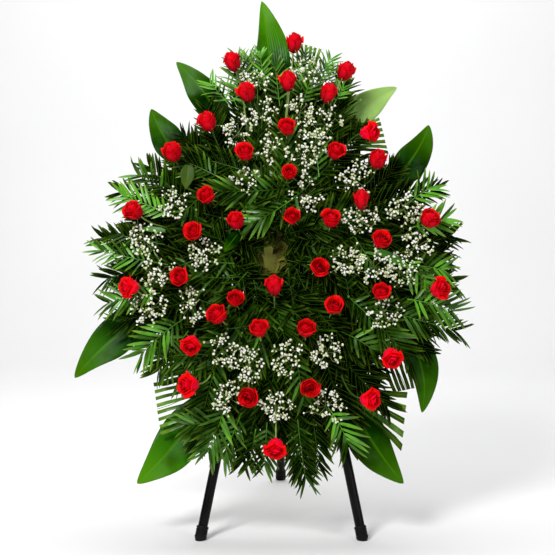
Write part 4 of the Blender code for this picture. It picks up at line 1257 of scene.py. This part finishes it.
@dataclass
class BroadLeaves:
    """The nine aspidistra leaves, and a few small leaves among the flowers."""

    long: int = 54
    wide: int = 14
    thickness: float = 0.7
    pale: int = 3
    wave: float = 4.2
    # Tone, lopsidedness and roll of each leaf
    looks: tuple[Triple, ...] = (
        (0.84, -0.36, -8), (0.50, 0.08, 6), (0.40, -0.12, -6), (0.66, 0.10, 0), (0.38, -0.15, 8),
        (0.48, 0.00, -6), (0.42, 0.10, 6), (0.84, 0.12, -6), (0.40, -0.22, 6),
    )
    draw: random.Random = field(default_factory=lambda: random.Random(9))

    def blade(self, sheaf: Sheaf, spine: np.ndarray, normal: np.ndarray, width: float, tone: float,
              wave: float, phase: float, lopsided: float = 0.0) -> None:
        """Plants one blade along its spine.

        Args:
            sheaf: Where it goes.
            spine: Points along its midrib, evenly spaced.
            normal: Direction its face looks.
            width: Widest width.
            tone: How light it is.
            wave: Height of its wavy edges.
            phase: Where the waves start.
            lopsided: How much wider its left half is.
        """
        stamp = sheet_stamp(self.long, self.wide)
        t, a = stamp.along, stamp.across
        at = t * (len(spine) - 1)
        i = np.minimum(at.astype(int), len(spine) - 2)
        middle = spine[i] + (spine[i + 1] - spine[i]) * (at - i)[:, None]
        ahead = np.gradient(spine, axis=0)
        ahead = ahead[np.minimum(np.rint(at).astype(int), len(spine) - 1)]
        ahead /= np.linalg.norm(ahead, axis=1)[:, None]
        side = np.cross(normal, ahead)
        side /= np.linalg.norm(side, axis=1)[:, None]
        up = np.cross(ahead, side)
        swell = np.sin(math.pi * np.clip(0.08 + 0.92 * t, 0, 1) ** 0.86)
        half = width / 2 * np.maximum(swell, 0.0) ** 0.72
        half = half * (1 - 0.14 * step_up(t, 0.5, 0.95)) * (1 + lopsided * np.sign(a) * (0.4 + 0.6 * t))
        half = half * (1 + 0.035 * np.sin(11 * t + phase) * np.sign(a))
        fold = np.abs(a) * half * 0.16
        ripple = wave * np.abs(a) ** 2 * np.sin(13 * t + phase + 1.3 * np.sign(a)) * np.sin(math.pi * t)
        pleat = 0.35 * np.sin(a * 16.0) * np.sin(math.pi * t)
        points = middle + (a * half)[:, None] * side + (fold + ripple + pleat)[:, None] * up
        sheaf.plant(stamp, points, tone)

    def build(self) -> None:
        """Makes a piece for each large leaf and one for the small leaves."""
        for number, (angle, start, tip, width, bow, level) in enumerate(LEAVES):
            sheaf = Sheaf()
            first, last = np.array((*start, float(level))), np.array((*tip, float(level)))
            run = last - first
            middle = (first + last) / 2 + unit(np.array((-run[1], run[0], 0.0))) * bow
            middle[2] += 8.0
            spine = smooth_path([first, middle, last], 30)
            tone, lopsided, roll = self.looks[number]
            across = np.array((-run[1], run[0], 0.0)) / np.linalg.norm(run)
            face = upward(1.0) + across * math.tan(math.radians(roll))
            self.blade(sheaf, spine, face, width, tone, self.wave, angle, lopsided)
            finish = PALE_LEAF_FINISH if number == self.pale else LEAF_FINISH
            piece = make_piece(f"broad_leaf_{number + 1}", sheaf.mesh("aspidistra"), (finish.material(),),
                               nodes=(f"aspidistra_leaf_{number + 1}",))
            thicken(piece, self.thickness)
            stalks = Sheaf()
            inner = np.array((*polar(232, angle), -14.0))
            outer = np.array((*polar(284, angle), -14.0))
            tube_along(stalks, smooth_path([inner, outer, first, spine[3]], 10), (2.4, 1.6), 8, 0.5)
            tube_along(stalks, spine[1::4] - upward(0.9), (1.5, 0.5), 6, 0.8)
            make_piece(f"leaf_stalk_{number + 1}", stalks.mesh("leaf_stalk"),
                       (STEM_FINISH.material(),))
        for name, start, tip, width, level, tone, finish in (
            ("olive_leaf", (-212, 226), (-219, 164), 36, 112, 0.5, OLIVE_FINISH),
            ("oval_leaf", (-84, 50), (-122, 2), 34, 108, 0.3, LEAF_FINISH),
            ("bright_blade", (-268, 55), (-338, 64), 15, 114, 0.5, FRESH_FINISH),
            ("slanting_blade", (268, 4), (356, -42), 22, 114, 0.8, FRESH_FINISH),
        ):
            sheaf = Sheaf()
            first, last = PLANE.on_dome(*start, level), PLANE.on_dome(*tip, level - 6)
            spine = smooth_path([first, (first + last) / 2 + upward(5.0), last], 30)
            self.blade(sheaf, spine, np.array((0.0, 0.2, 1.0)), width, tone, 0.8, 2.0)
            thicken(make_piece(name, sheaf.mesh(name), (finish.material(),)), self.thickness)


# Roses


@dataclass(frozen=True)
class PetalRow:
    """One row of petals: how many, how wide, how tall and how far rolled."""

    count: int
    foot: float
    waist: float
    lip: float
    top: float
    half_span: float
    roll: float
    dip: float
    peak: float


PETAL_ROWS = (
    PetalRow(3, 1.6, 4.2, 2.8, 23.0, 85, 0.2, 0.2, 0.0),
    PetalRow(3, 3.0, 8.2, 6.4, 25.5, 80, 0.7, 0.4, 0.0),
    PetalRow(4, 4.0, 12.4, 10.6, 26.0, 64, 1.3, 0.8, 0.6),
    PetalRow(5, 5.0, 17.0, 15.8, 24.0, 52, 2.4, 1.6, 1.2),
    PetalRow(5, 6.0, 21.2, 20.6, 21.0, 50, 3.4, 3.0, 2.2),
    PetalRow(5, 6.5, 24.6, 25.2, 16.5, 50, 5.2, 4.6, 3.8),
)


@dataclass
class RoseBunches:
    """Forty-one roses on their stems, in fourteen bunches."""

    level: float = 143.0
    foot_depth: float = -21.0
    petal_faces: int = 7
    height: float = 24.0
    room: float = 24.0
    widest: float = 0.90
    turn_between_rows: float = 137.5
    plain_stems: tuple[int, ...] = (1, 2, 3, 4, 17, 19, 27, 31, 33, 37, 41)
    draw: random.Random = field(default_factory=lambda: random.Random(41))

    def centre(self, number: int) -> np.ndarray:
        """Returns the middle of one bloom."""
        u, v, _, _ = ROSES[number - 1]
        return PLANE.on_dome(u, v, self.level)

    def axis(self, number: int) -> np.ndarray:
        """Returns the way one bloom faces."""
        _, _, heading, lean = ROSES[number - 1]
        tilt, turn = math.radians(lean), math.radians(heading)
        return np.array((math.sin(tilt) * math.cos(turn), math.sin(tilt) * math.sin(turn), math.cos(tilt)))

    def clearance(self) -> Clearance:
        """Returns the blooms as something for leaves to keep clear of."""
        numbers = range(1, len(ROSES) + 1)
        return Clearance(np.array([self.centre(n) + self.axis(n) * 2 for n in numbers]), self.room)

    def bloom(self, sheaf: Sheaf, number: int) -> None:
        """Plants every petal of one bloom.

        Args:
            sheaf: Where they go.
            number: Number of the rose.
        """
        centre, axis = self.centre(number), self.axis(number)
        side = unit(np.cross(axis, (0.0, 1.0, 0.3)))
        other = np.cross(axis, side)
        wide = self.widest * BLOOM_SIZES[number - 1]
        _, _, heading, lean = ROSES[number - 1]
        leaning = float(step_up(np.array(lean), 38.0, 54.0))
        upright = leaning * float(step_up(np.array(math.sin(math.radians(heading))), 0.1, 0.6))
        hanging = leaning - upright
        spin = self.draw.uniform(0, 360)
        stamp = sheet_stamp(self.petal_faces, self.petal_faces)
        t, s = stamp.along, stamp.across
        openness = self.draw.uniform(0.93, 1.05)
        for row_number, row in enumerate(PETAL_ROWS):
            for k in range(row.count):
                middle = (spin + self.turn_between_rows * row_number + 360.0 * k / row.count
                          + self.draw.uniform(-6, 6))
                span = row.half_span * self.draw.uniform(0.92, 1.06)
                fan = 0.45 + 0.55 * np.sin(math.pi / 2 * np.clip(t * 1.25, 0, 1))
                turn = np.radians(middle + s * span * fan)
                crown = (row.top + self.draw.uniform(-1.6, 1.2)
                         - (0.20 * (row.top + self.height)) * np.abs(s) ** 2.4)
                low = np.clip(t / 0.62, 0, 1)
                radius = row.foot + (row.waist - row.foot) * np.sin(math.pi / 2 * low) ** 0.8
                radius = radius + (row.lip - row.waist) * step_up(t, 0.55, 1.0)
                radius = radius * (openness if row_number > 1 else 1.0) + s * 0.9
                rim = step_up(t, 0.78, 1.0)
                ear = upright * (row_number == 5) * math.cos(math.radians(middle)) ** 4
                roll = row.roll * (self.draw.choice((0.3, 0.7, 1.0, 1.7)) * (1 - 0.5 * upright) + 1.2 * ear)
                roll += hanging * (row_number > 3) * 4.5
                radius = radius * (1.0 - 0.12 * hanging * (1 - rim))
                radius = radius + roll * rim ** 1.5 + row.roll * 0.35 * np.abs(s) ** 4 * t
                height = -self.height + (crown + self.height) * t - row.dip * rim ** 2 * 1.2
                height = height + (row.peak + 4.0 * ear) * (1 - np.abs(s)) ** 2 * rim
                height = height + 0.7 * np.sin(5 * s + k) * rim * (row_number > 2)
                tall = 0.96 + 0.12 * upright + 0.10 * hanging
                points = centre + height[:, None] * axis * tall + wide * radius[:, None] * (
                    np.cos(turn)[:, None] * side + np.sin(turn)[:, None] * other)
                # The tone carries the row, for painted shade on the inner rows, plus one on the outer rows
                # of hanging blooms, for a painted lit tint.
                sheaf.plant(stamp, points, row_number / 5.0 + (row_number > 2) * hanging)

    def stem(self, sheaf: Sheaf, number: int) -> None:
        """Plants the calyx, sepals and stem of one bloom."""
        centre, axis = self.centre(number), self.axis(number)
        foot = centre + axis * self.foot_depth
        root = root_in_ring(centre[:2], 40, 240)
        path = smooth_path([root, (root + foot) / 2 + upward(-10.0), foot - axis * 60, foot], 9)
        # Stems out of plain view get a dark tone: painted shade among the foliage.
        tube_along(sheaf, path, (2.3, 2.1), 6, 0.8 if number in self.plain_stems else 0.2)
        calyx = np.array([foot - axis * 1, foot + axis * 3.5, foot + axis * 7])
        tube_along(sheaf, calyx, (2.4, 6.4), 8, 0.55)
        side = unit(np.cross(axis, (0.0, 1.0, 0.3)))
        stamp = sepal_stamp()
        for k in range(5):
            out = spun(side, axis, 72 * k + 11 * number)
            reach = self.draw.uniform(17, 24)
            dip = self.draw.uniform(-0.9, 0.5)
            t = stamp.along
            run = unit(out + axis * 0.55)
            down = unit(out * 0.3 - axis)
            tangent = np.cross(axis, out)
            droop = t ** 2 * reach * (0.4 - dip * 0.4)
            points = (foot + axis * 3 + out * 3.5 + (t * reach)[:, None] * run + droop[:, None] * down
                      + (stamp.across * 3.0)[:, None] * tangent + (stamp.rise * 0.4)[:, None] * axis)
            sheaf.plant(stamp, points, 0.6)

    def build(self) -> None:
        """Makes the blooms and the stems of every bunch."""
        for number, bunch in enumerate(ROSE_BUNCHES):
            blooms, stems = Sheaf(), Sheaf()
            for rose in bunch:
                self.bloom(blooms, rose)
                self.stem(stems, rose)
            piece = make_piece(f"rose_blooms_{number + 1:02d}", blooms.mesh("rose_blooms"),
                               (PETAL_FACE.material(), PETAL_BACK.material()),
                               nodes=(f"rose_bunch_{number + 1:02d}",))
            thicken(piece, 0.45, True)
            make_piece(f"rose_stems_{number + 1:02d}", stems.mesh("rose_stems"),
                       (STEM_FINISH.material(),))


# Gypsophila


@dataclass
class GypsophilaSprays:
    """Clouds of small white flowers on branching stalks."""

    roses: np.ndarray
    hub_level: float = 122.0
    groups: tuple[int, ...] = (8, 8, 12, 11, 11, 11, 11, 12)
    florets: int = 11
    spread: float = 43.0
    tuft: float = 6.0
    apart: float = 5.2
    arm_count: int = 8
    tuft_gap: float = 16.5
    tries: int = 400
    floret_tries: int = 60
    rose_gap: float = 31.0
    draw: random.Random = field(default_factory=lambda: random.Random(64))

    def cluster(self, flowers: Sheaf, stalks: Sheaf, spot: tuple[float, float], root: np.ndarray,
                wanted_groups: int) -> None:
        """Plants one cluster.

        Args:
            flowers: Where its florets go.
            stalks: Where its stalks go.
            spot: Its middle on the plane.
            root: Where its branch leaves the ring.
            wanted_groups: How many tufts it has.
        """
        hub = PLANE.on_dome(spot[0], spot[1], self.hub_level - 30.0)
        fork = hub - upward(12.0)
        branch = smooth_path([root, (root + fork) / 2 + upward(8.0), fork, hub], 7)
        tube_along(stalks, branch, (1.0, 0.8), 4, 0.3)
        arms = []
        for k in range(self.arm_count):
            turn = 360.0 / self.arm_count * k + self.draw.uniform(-18, 18)
            out = self.spread * (0.62 if k % 2 else 0.34)
            arm = hub + np.array((*polar(out, turn), 17.0 + self.draw.uniform(-5, 5)))
            arms.append(arm)
            tube_along(stalks, smooth_path([hub, (hub + arm) / 2 + upward(3.0), arm], 3),
                       (0.7, 0.5), 3, 0.45)
        groups: list[np.ndarray] = []
        placed: list[np.ndarray] = []
        for _ in range(self.tries):
            out = self.spread * math.sqrt(self.draw.random()) * 0.92
            where = polar(out, self.draw.uniform(0, 360))
            rise = 30 - 12 * (out / self.spread) ** 2 + self.draw.uniform(-7, 5)
            middle = hub + np.array((*where, rise))
            if len(groups) == wanted_groups:
                break
            if self.near(groups, middle, self.tuft_gap):
                continue
            groups.append(middle)
            arm = min(arms, key=lambda a: float(np.linalg.norm(a - middle)))
            foot = middle - upward(7.0)
            tube_along(stalks, smooth_path([arm, (arm + middle) / 2 - upward(3.0), foot], 2),
                       (0.6, 0.5), 3, 0.5)
            wanted, tries = self.draw.randint(3, self.florets), 0
            while wanted and tries < self.floret_tries:
                tries += 1
                tip = middle + np.array([self.draw.gauss(0, self.tuft) for _ in range(3)])
                if self.near(placed, tip, self.apart) or self.near(self.roses, tip, self.rose_gap):
                    continue
                if PLANE.in_opening(tip[None, :], 4):
                    continue
                wanted -= 1
                placed.append(tip)
                tube_along(stalks, smooth_path([foot, tip], 1), (0.4, 0.35), 3, 0.75)
                self.floret(flowers, tip)

    @staticmethod
    def near(others: list[np.ndarray] | np.ndarray, point: np.ndarray, gap: float) -> bool:
        """Returns whether a point is nearer than this to any of the others."""
        return len(others) > 0 and np.min(np.linalg.norm(np.array(others) - point, axis=1)) < gap

    def floret(self, flowers: Sheaf, tip: np.ndarray) -> None:
        """Plants one floret."""
        stamp = floret_stamp()
        radius = self.draw.uniform(2.1, 4.2)
        local = np.stack((stamp.across, stamp.rise, stamp.along * 0.85), axis=1)
        axis = unit(np.array([self.draw.uniform(-1, 1) for _ in range(3)]))
        turned = np.array([spun(point, axis, 77.0) for point in local]) * radius
        tone = self.draw.choice((0.0, 0.7, 0.9, 1.0))
        flowers.plant(stamp, tip + turned + upward(radius * 0.6), tone)

    def build(self) -> None:
        """Makes the florets and the stalks of every spray."""
        for number, spray in enumerate(SPRAYS):
            flowers, stalks = Sheaf(), Sheaf()
            root = root_in_ring(np.mean(np.array(spray, float), axis=0), 0, 236)
            for spot in spray:
                self.cluster(flowers, stalks, spot, root, self.groups[number])
            make_piece(f"gypsophila_florets_{number + 1}", flowers.mesh("gypsophila_florets"),
                       (FLORET_FINISH.material(),),
                       nodes=(f"gypsophila_spray_{number + 1}",))
            make_piece(f"gypsophila_stalks_{number + 1}", stalks.mesh("gypsophila_stalks"),
                       (STALK_FINISH.material(),))


# Straw ring


@dataclass
class StrawRing:
    """The straw ring that everything is pushed into, bound with green twine."""

    radius: float = 195.0
    half_width: float = 70.0
    half_depth: float = 34.0
    straws: int = 900
    turns: int = 34
    draw: random.Random = field(default_factory=lambda: random.Random(3))

    def point(self, turn: float, round_it: float, proud: float = 0.0) -> np.ndarray:
        """Returns a point of the ring's surface, standing proud by some millimetres."""
        radius = self.radius + (self.half_width + proud) * math.cos(round_it)
        rise = (self.half_depth + proud) * math.sin(round_it)
        return np.array((radius * math.cos(turn), radius * math.sin(turn), rise))

    def build(self) -> None:
        """Makes the ring's core of straw, its loose straws and its twine."""
        core = bmesh.new()
        upright = Matrix.Rotation(math.pi / 2, 4, "X")
        oval = Matrix.Diagonal((self.half_width, self.half_depth, 1, 1))
        bmesh.ops.create_circle(core, segments=28, radius=1.0,
                                matrix=Matrix.Translation((self.radius, 0, 0)) @ upright @ oval)
        bmesh.ops.spin(core, geom=core.verts[:] + core.edges[:], axis=(0, 0, 1), cent=(0, 0, 0),
                       angle=2 * math.pi, steps=120, use_merge=True)
        for vert in core.verts:
            turn = math.atan2(vert.co.y, vert.co.x)
            out = math.hypot(vert.co.x, vert.co.y) - self.radius
            round_it = math.atan2(vert.co.z / self.half_depth, out / self.half_width)
            pinch = 1.6 * abs(math.sin(turn * self.turns / 2 + round_it / 2)) + self.draw.uniform(-0.5, 0.5)
            vert.co = self.point(turn, round_it, pinch - 2.5)
        bmesh.ops.recalc_face_normals(core, faces=core.faces)
        for face in core.faces:
            face.smooth = True
        mesh = as_mesh("straw_ring_core", core)
        mesh.transform(PLANE.matrix())
        make_piece("bound_straw_ring", mesh, (STRAW.material(),), nodes=("straw_ring",))
        loose, twine = Sheaf(), Sheaf()
        for _ in range(self.straws):
            turn, round_it = (self.draw.uniform(0, 2 * math.pi) for _ in range(2))
            sweep, slip = self.draw.uniform(0.12, 0.3), self.draw.uniform(-0.25, 0.25)
            path = np.array([
                self.point(turn + sweep * f, round_it + slip * f, 0.4 + 1.4 * math.sin(math.pi * f))
                for f in (0, 0.33, 0.67, 1.0)])
            tube_along(loose, path, (0.8, 0.5), 3, self.draw.random())
        for k in range(self.turns):
            start = 2 * math.pi * k / self.turns
            path = np.array([self.point(start + f / self.turns * math.pi, 2 * math.pi * f, 0.6)
                             for f in np.linspace(0, 1, 29)])
            tube_along(twine, path, 0.9, 5, 0.5)
        make_piece("loose_straw", loose.mesh("loose_straw"), (STRAW.material(),))
        make_piece("binding_twine", twine.mesh("binding_twine"), (TWINE.material(),))


# Easel


@dataclass
class Easel:
    """The folding three-legged stand: tubes, ribbed feet, head casting, pin, strap and ties."""

    middle_u: float = 24.0
    tube: float = 12.5
    wall: float = 1.5
    leg_w: float = -52.0
    leg_top_v: float = 257.0
    leg_top_half: float = 15.5
    slope: float = 0.199
    slope_v: float = 250.0
    pin_v: float = 250.0
    pin_w: float = -89.0
    rear_foot_y: float = 612.0
    cap_radius: float = 16.0
    cap_height: float = 36.0
    bore_floor: float = 13.0
    strap_v: float = -332.0
    tie_v: float = -165.0

    def leg_line(self, sign: int) -> tuple[Vector, Vector]:
        """Returns the floor point and the upward direction of a front leg."""
        top = Vector((self.middle_u + sign * self.leg_top_half, self.slope_v, self.leg_w))
        down = Vector((sign * self.slope, -1.0, 0.0)).normalized()
        rate = PLANE.height(top + down) - PLANE.height(top)
        return top - down * (PLANE.height(top) / rate), -down

    def rear_line(self) -> tuple[Vector, Vector, float]:
        """Returns the floor point, direction and length up to the pin of the rear leg."""
        pin = Vector((self.middle_u, self.pin_v, self.pin_w))
        foot = PLANE.from_floor(self.middle_u, self.rear_foot_y, 0)
        return foot, (pin - foot).normalized(), (pin - foot).length

    def turned(self, profile: list[tuple[float, float]], start: Vector, axis: Vector,
               sides: int = 40) -> bmesh.types.BMesh:
        """A closed shape spun about an axis.

        Args:
            profile: Distance along the axis and radius of each point.
            start: Where the axis starts.
            axis: Its direction.
            sides: Number of steps round.

        Returns:
            The shape, in the plane's terms.
        """
        work = bmesh.new()
        verts = [work.verts.new((radius, 0, along)) for along, radius in profile]
        for a, b in zip(verts, verts[1:]):
            work.edges.new((a, b))
        bmesh.ops.spin(work, geom=work.verts[:] + work.edges[:], axis=(0, 0, 1), cent=(0, 0, 0),
                       angle=2 * math.pi, steps=sides, use_merge=True)
        bmesh.ops.remove_doubles(work, verts=work.verts, dist=0.0005)
        bmesh.ops.holes_fill(work, edges=[e for e in work.edges if e.is_boundary], sides=0)
        bmesh.ops.recalc_face_normals(work, faces=work.faces)
        for face in work.faces:
            face.smooth = len(face.verts) < 5
        for edge in work.edges:
            if len(edge.link_faces) == 2 and edge.calc_face_angle(0) > 0.6:
                edge.smooth = False
        turn = axis.to_track_quat("Z", "Y").to_matrix().to_4x4()
        work.transform(Matrix.Translation(start) @ turn)
        return work

    def leg_tube(self, top: float, plug: float, rounded: list[tuple[float, float]], floor: Vector,
                 up: Vector) -> bmesh.types.BMesh:
        """A leg's hollow tube with a closed, rounded top.

        Args:
            top: Distance from the floor to its top.
            plug: How far the hollow stays under the top.
            rounded: Drop from the top and loss of radius of each point of the rounded end.
            floor: Where its middle line meets the floor.
            up: Direction of that line.

        Returns:
            The shape, in the plane's terms.
        """
        low, inner = self.bore_floor + 0.3, self.tube - self.wall
        profile = [(top - plug, 0.0), (top - plug, inner), (low, inner), (low, self.tube)]
        profile += [(top - drop, self.tube - less) for drop, less in rounded]
        return self.turned(profile, floor, up)

    def piece(self, name: str, work: bmesh.types.BMesh, finish: HardFinish, slot: Slot, node: str,
              body: Body = Body.STAND) -> bpy.types.Object:
        """Returns a shape of the easel made a piece that stands for one node."""
        mesh = as_mesh(name, work)
        mesh.transform(PLANE.matrix())
        return make_piece(name, mesh, (finish.material(),), body, (node,))

    def cap(self, name: str, floor: Vector, up: Vector, node: str, body: Body) -> None:
        """Makes one ribbed rubber foot, cut level with the floor."""
        r, h, bore = self.cap_radius, self.cap_height, self.tube + 0.1
        profile = [(-9.0, r - 5.0), (0.5, r - 3.2), (3.4, r - 1.4), (7, r - 0.3), (9, r), (11, r)]
        for k in range(4):
            z = 12.5 + 5.2 * k
            profile += [(z, r - 1.5), (z + 1.4, r - 1.6), (z + 2.0, r - 0.3), (z + 4.2, r - 0.3)]
        profile += [(h - 1.6, r - 0.5), (h - 0.4, r - 1.4), (h, self.tube + 0.9), (h - 0.4, bore),
                    (self.bore_floor, bore)]
        work = self.turned(profile, floor, up)
        inverse = PLANE.matrix().inverted()
        low = inverse @ Vector((0, 0, 0))
        normal = (inverse.to_3x3() @ Vector((0, 0, 1))).normalized()
        bmesh.ops.bisect_plane(work, geom=work.verts[:] + work.edges[:] + work.faces[:], plane_co=low,
                               plane_no=normal, clear_inner=True)
        bmesh.ops.holes_fill(work, edges=[e for e in work.edges if e.is_boundary], sides=0)
        self.piece(name, work, RUBBER, Slot.RUBBER, node, body)

    def block(self, low: Triple, high: Triple, bevel: float) -> bmesh.types.BMesh:
        """Returns a block with rounded edges between two corners."""
        work = bmesh.new()
        size = Vector(high) - Vector(low)
        bmesh.ops.create_cube(work, size=1.0, matrix=Matrix.Translation((Vector(low) + Vector(high)) / 2)
                              @ Matrix.Diagonal((*size, 1)))
        bmesh.ops.bevel(work, geom=work.edges[:], offset=bevel, segments=3, affect="EDGES",
                        profile=0.5, material=-1)
        return work

    def build(self) -> None:
        """Makes every piece of the easel."""
        for sign, side in ((-1, "left"), (1, "right")):
            floor, up = self.leg_line(sign)
            top = (self.leg_top_v - floor.y) / up.y
            rounded = [(1.8, 0.0), (0.8, 0.5), (0.3, 1.6), (0.3, self.tube)]
            work = self.leg_tube(top, 13.5, rounded, floor, up)
            self.piece(f"front_tube_{side}", work, ENAMEL, Slot.ENAMEL, f"front_leg_{side}")
            self.cap(f"ribbed_foot_{side}", floor, up, f"foot_cap_{side}", Body.STAND)
        foot, up, reach = self.rear_line()
        rounded = [(4, 0.0), (1.6, 1.0), (0, 4.0), (0, self.tube)]
        work = self.leg_tube(reach + 14, 34, rounded, foot, up)
        self.piece("rear_tube", work, ENAMEL, Slot.ENAMEL, "rear_leg", Body.REAR_LEG)
        self.cap("ribbed_foot_rear", foot, up, "foot_cap_rear", Body.REAR_LEG)
        self.fittings()

    def fittings(self) -> None:
        """Makes the head casting, the pin, the strap and the wire ties."""
        u = self.middle_u
        head = self.block((u - 38, 210, -68), (u + 38, 276, -36.6), 4.0)
        for sign in (-1, 1):
            low, high = sorted((u + sign * 13.5, u + sign * 19.5))
            lug = self.block((low, self.pin_v - 15, -103), (high, self.pin_v + 15, -64), 1.5)
            head.from_mesh(as_mesh("lug", lug))
        self.piece("head_casting", head, ENAMEL, Slot.ENAMEL, "head")
        half_pin = [(20, 4), (20, 6.4), (20.8, 7), (25.2, 7), (26, 6.2), (26, 0)]
        profile = [(-along, radius) for along, radius in reversed(half_pin)] + half_pin
        pin = self.turned(profile, Vector((u, self.pin_v, self.pin_w)), Vector((1, 0, 0)), 24)
        self.piece("hinge_bolt", pin, ZINC, Slot.ZINC, "hinge_pin")
        half = self.leg_top_half + self.slope * (self.slope_v - self.strap_v) + self.tube
        back = self.leg_w - self.tube - 0.3
        strap = self.block((u - half, self.strap_v - 9, back - 4), (u + half, self.strap_v + 9, back), 1.2)
        self.piece("rear_strap", strap, ENAMEL, Slot.ENAMEL, "cross_strap")
        for sign, side in ((-1, "left"), (1, "right")):
            _, up = self.leg_line(sign)
            sideways = self.leg_top_half + self.slope * (self.slope_v - self.tie_v)
            centre = np.array((u + sign * sideways, self.tie_v, 0.0))
            across = np.array((up.y, -up.x, 0.0))
            arm, back = self.tube + 2.6, self.leg_w - self.tube - 2.4
            shape = ((-arm, -22), (-arm, back + 7), (-8, back), (8, back), (arm, back + 7), (arm, -22))
            tie = Sheaf()
            tube_along(tie, np.array([centre + across * a + upward(w) for a, w in shape]), 1.6, 8, 0.5)
            make_piece(f"twisted_tie_{side}", tie.mesh("tie"), (ZINC.material(),),
                       nodes=(f"wire_tie_{side}",))


# Studio


@dataclass
class Studio:
    """The camera, the pale backdrop and the soft lights."""

    camera_place: Triple = (0.0133, -3.4967, 0.865)
    pitch: float = 3.43
    lens: float = 82.3
    ground_place: Triple = (0.02, 4.2, 0.55)
    ground_radius: float = 0.21
    floor_half_width: float = 9.0
    floor_front: float = -7.0
    floor_back: float = 3.0
    curve: float = 1.6
    wall_top: float = 9.0
    ambient: float = 0.11

    def camera(self) -> None:
        """Makes the camera at the photograph's viewing angle."""
        data = bpy.data.cameras.new("camera")
        data.lens, data.sensor_width = self.lens, 36.0
        camera = bpy.data.objects.new("camera", data)
        camera.location = self.camera_place
        camera.rotation_euler = (math.radians(90 - self.pitch), 0, 0)
        bpy.context.scene.collection.objects.link(camera)
        bpy.context.scene.camera = camera

    def backdrop(self) -> None:
        """Makes the seamless floor and wall, with the olive ground that the photo shows through the hole."""
        work = bmesh.new()
        ends = [work.verts.new((side * self.floor_half_width, self.floor_front, 0)) for side in (-1, 1)]
        edges = [work.edges.new(ends)]
        path = [(self.floor_front, 0.0), (self.floor_back, 0.0)]
        path += [(self.floor_back + self.curve * math.sin(math.radians(a)),
                  self.curve - self.curve * math.cos(math.radians(a))) for a in range(10, 91, 10)]
        path += [(self.floor_back + self.curve, self.wall_top)]
        for (y0, z0), (y1, z1) in zip(path, path[1:]):
            made = bmesh.ops.extrude_edge_only(work, edges=edges)["geom"]
            new = [g for g in made if isinstance(g, bmesh.types.BMVert)]
            bmesh.ops.translate(work, verts=new, vec=(0, y1 - y0, z1 - z0))
            edges = [g for g in made
                     if isinstance(g, bmesh.types.BMEdge) and all(v in new for v in g.verts)]
        for face in work.faces:
            face.smooth = True
        bmesh.ops.recalc_face_normals(work, faces=work.faces)
        mesh = as_mesh("backdrop", work)
        made = bpy.data.objects.new("backdrop", mesh)
        bpy.context.scene.collection.objects.link(made)
        material, board, shader = new_material("pale_paper")
        place = board.put("TexCoord").outputs["Object"]
        cloud = board.noise(place, 1.3, 1.0)
        paper = board.mix(cloud, rgb(0.86, 0.86, 0.865), rgb(0.9, 0.9, 0.9))
        apart = board.put("VectorMath", {"operation": "DISTANCE"}, i0=place,
                          i1=self.ground_place).outputs["Value"]
        olive = board.ranged(apart, self.ground_radius, self.ground_radius + 0.03, 1.0, 0.0)
        shade = board.ranged(board.noise(place, 9.0, 2.0), 0.35, 0.65)
        ground = board.mix(shade, rgb(0.060, 0.052, 0.010), rgb(0.10, 0.105, 0.016))
        board.tree.links.new(board.mix(olive, paper, ground), shader.inputs["Base Color"])
        shader.inputs["Roughness"].default_value = 0.9
        shader.inputs["Specular IOR Level"].default_value = 0.1
        mesh.materials.append(material)

    def lamp(self, name: str, place: Triple, goal: Triple, size: float, power: float) -> None:
        """Adds one soft square light aimed at a point."""
        data = bpy.data.lights.new(name, "AREA")
        data.size, data.energy = size, power
        lamp = bpy.data.objects.new(name, data)
        lamp.location = place
        lamp.rotation_euler = (Vector(goal) - Vector(place)).to_track_quat("-Z", "Y").to_euler()
        bpy.context.scene.collection.objects.link(lamp)

    def build(self) -> None:
        """Makes everything that isn't the wreath."""
        self.camera()
        self.backdrop()
        for name, row in LAMPS.items():
            self.lamp(name, *row)
        world = bpy.data.worlds.new("studio")
        world.use_nodes = True
        sky = world.node_tree.nodes["Background"]
        sky.inputs[0].default_value = rgb(1.0, 1.0, 1.0)
        sky.inputs[1].default_value = self.ambient
        bpy.context.scene.world = world
        bpy.context.scene.view_settings.view_transform = "Standard"


def main() -> None:
    """Builds the wreath, piece by piece."""
    logging.basicConfig(level=logging.INFO, format="%(message)s")
    Studio().build()
    roses = RoseBunches()
    blooms = roses.clearance()
    roses.build()
    GypsophilaSprays(blooms.centres).build()
    PalmBunches(blooms).build()
    TrimmedPalm().build()
    BroadLeaves().build()
    StrawRing().build()
    Easel().build()


if __name__ == "__main__":
    main()
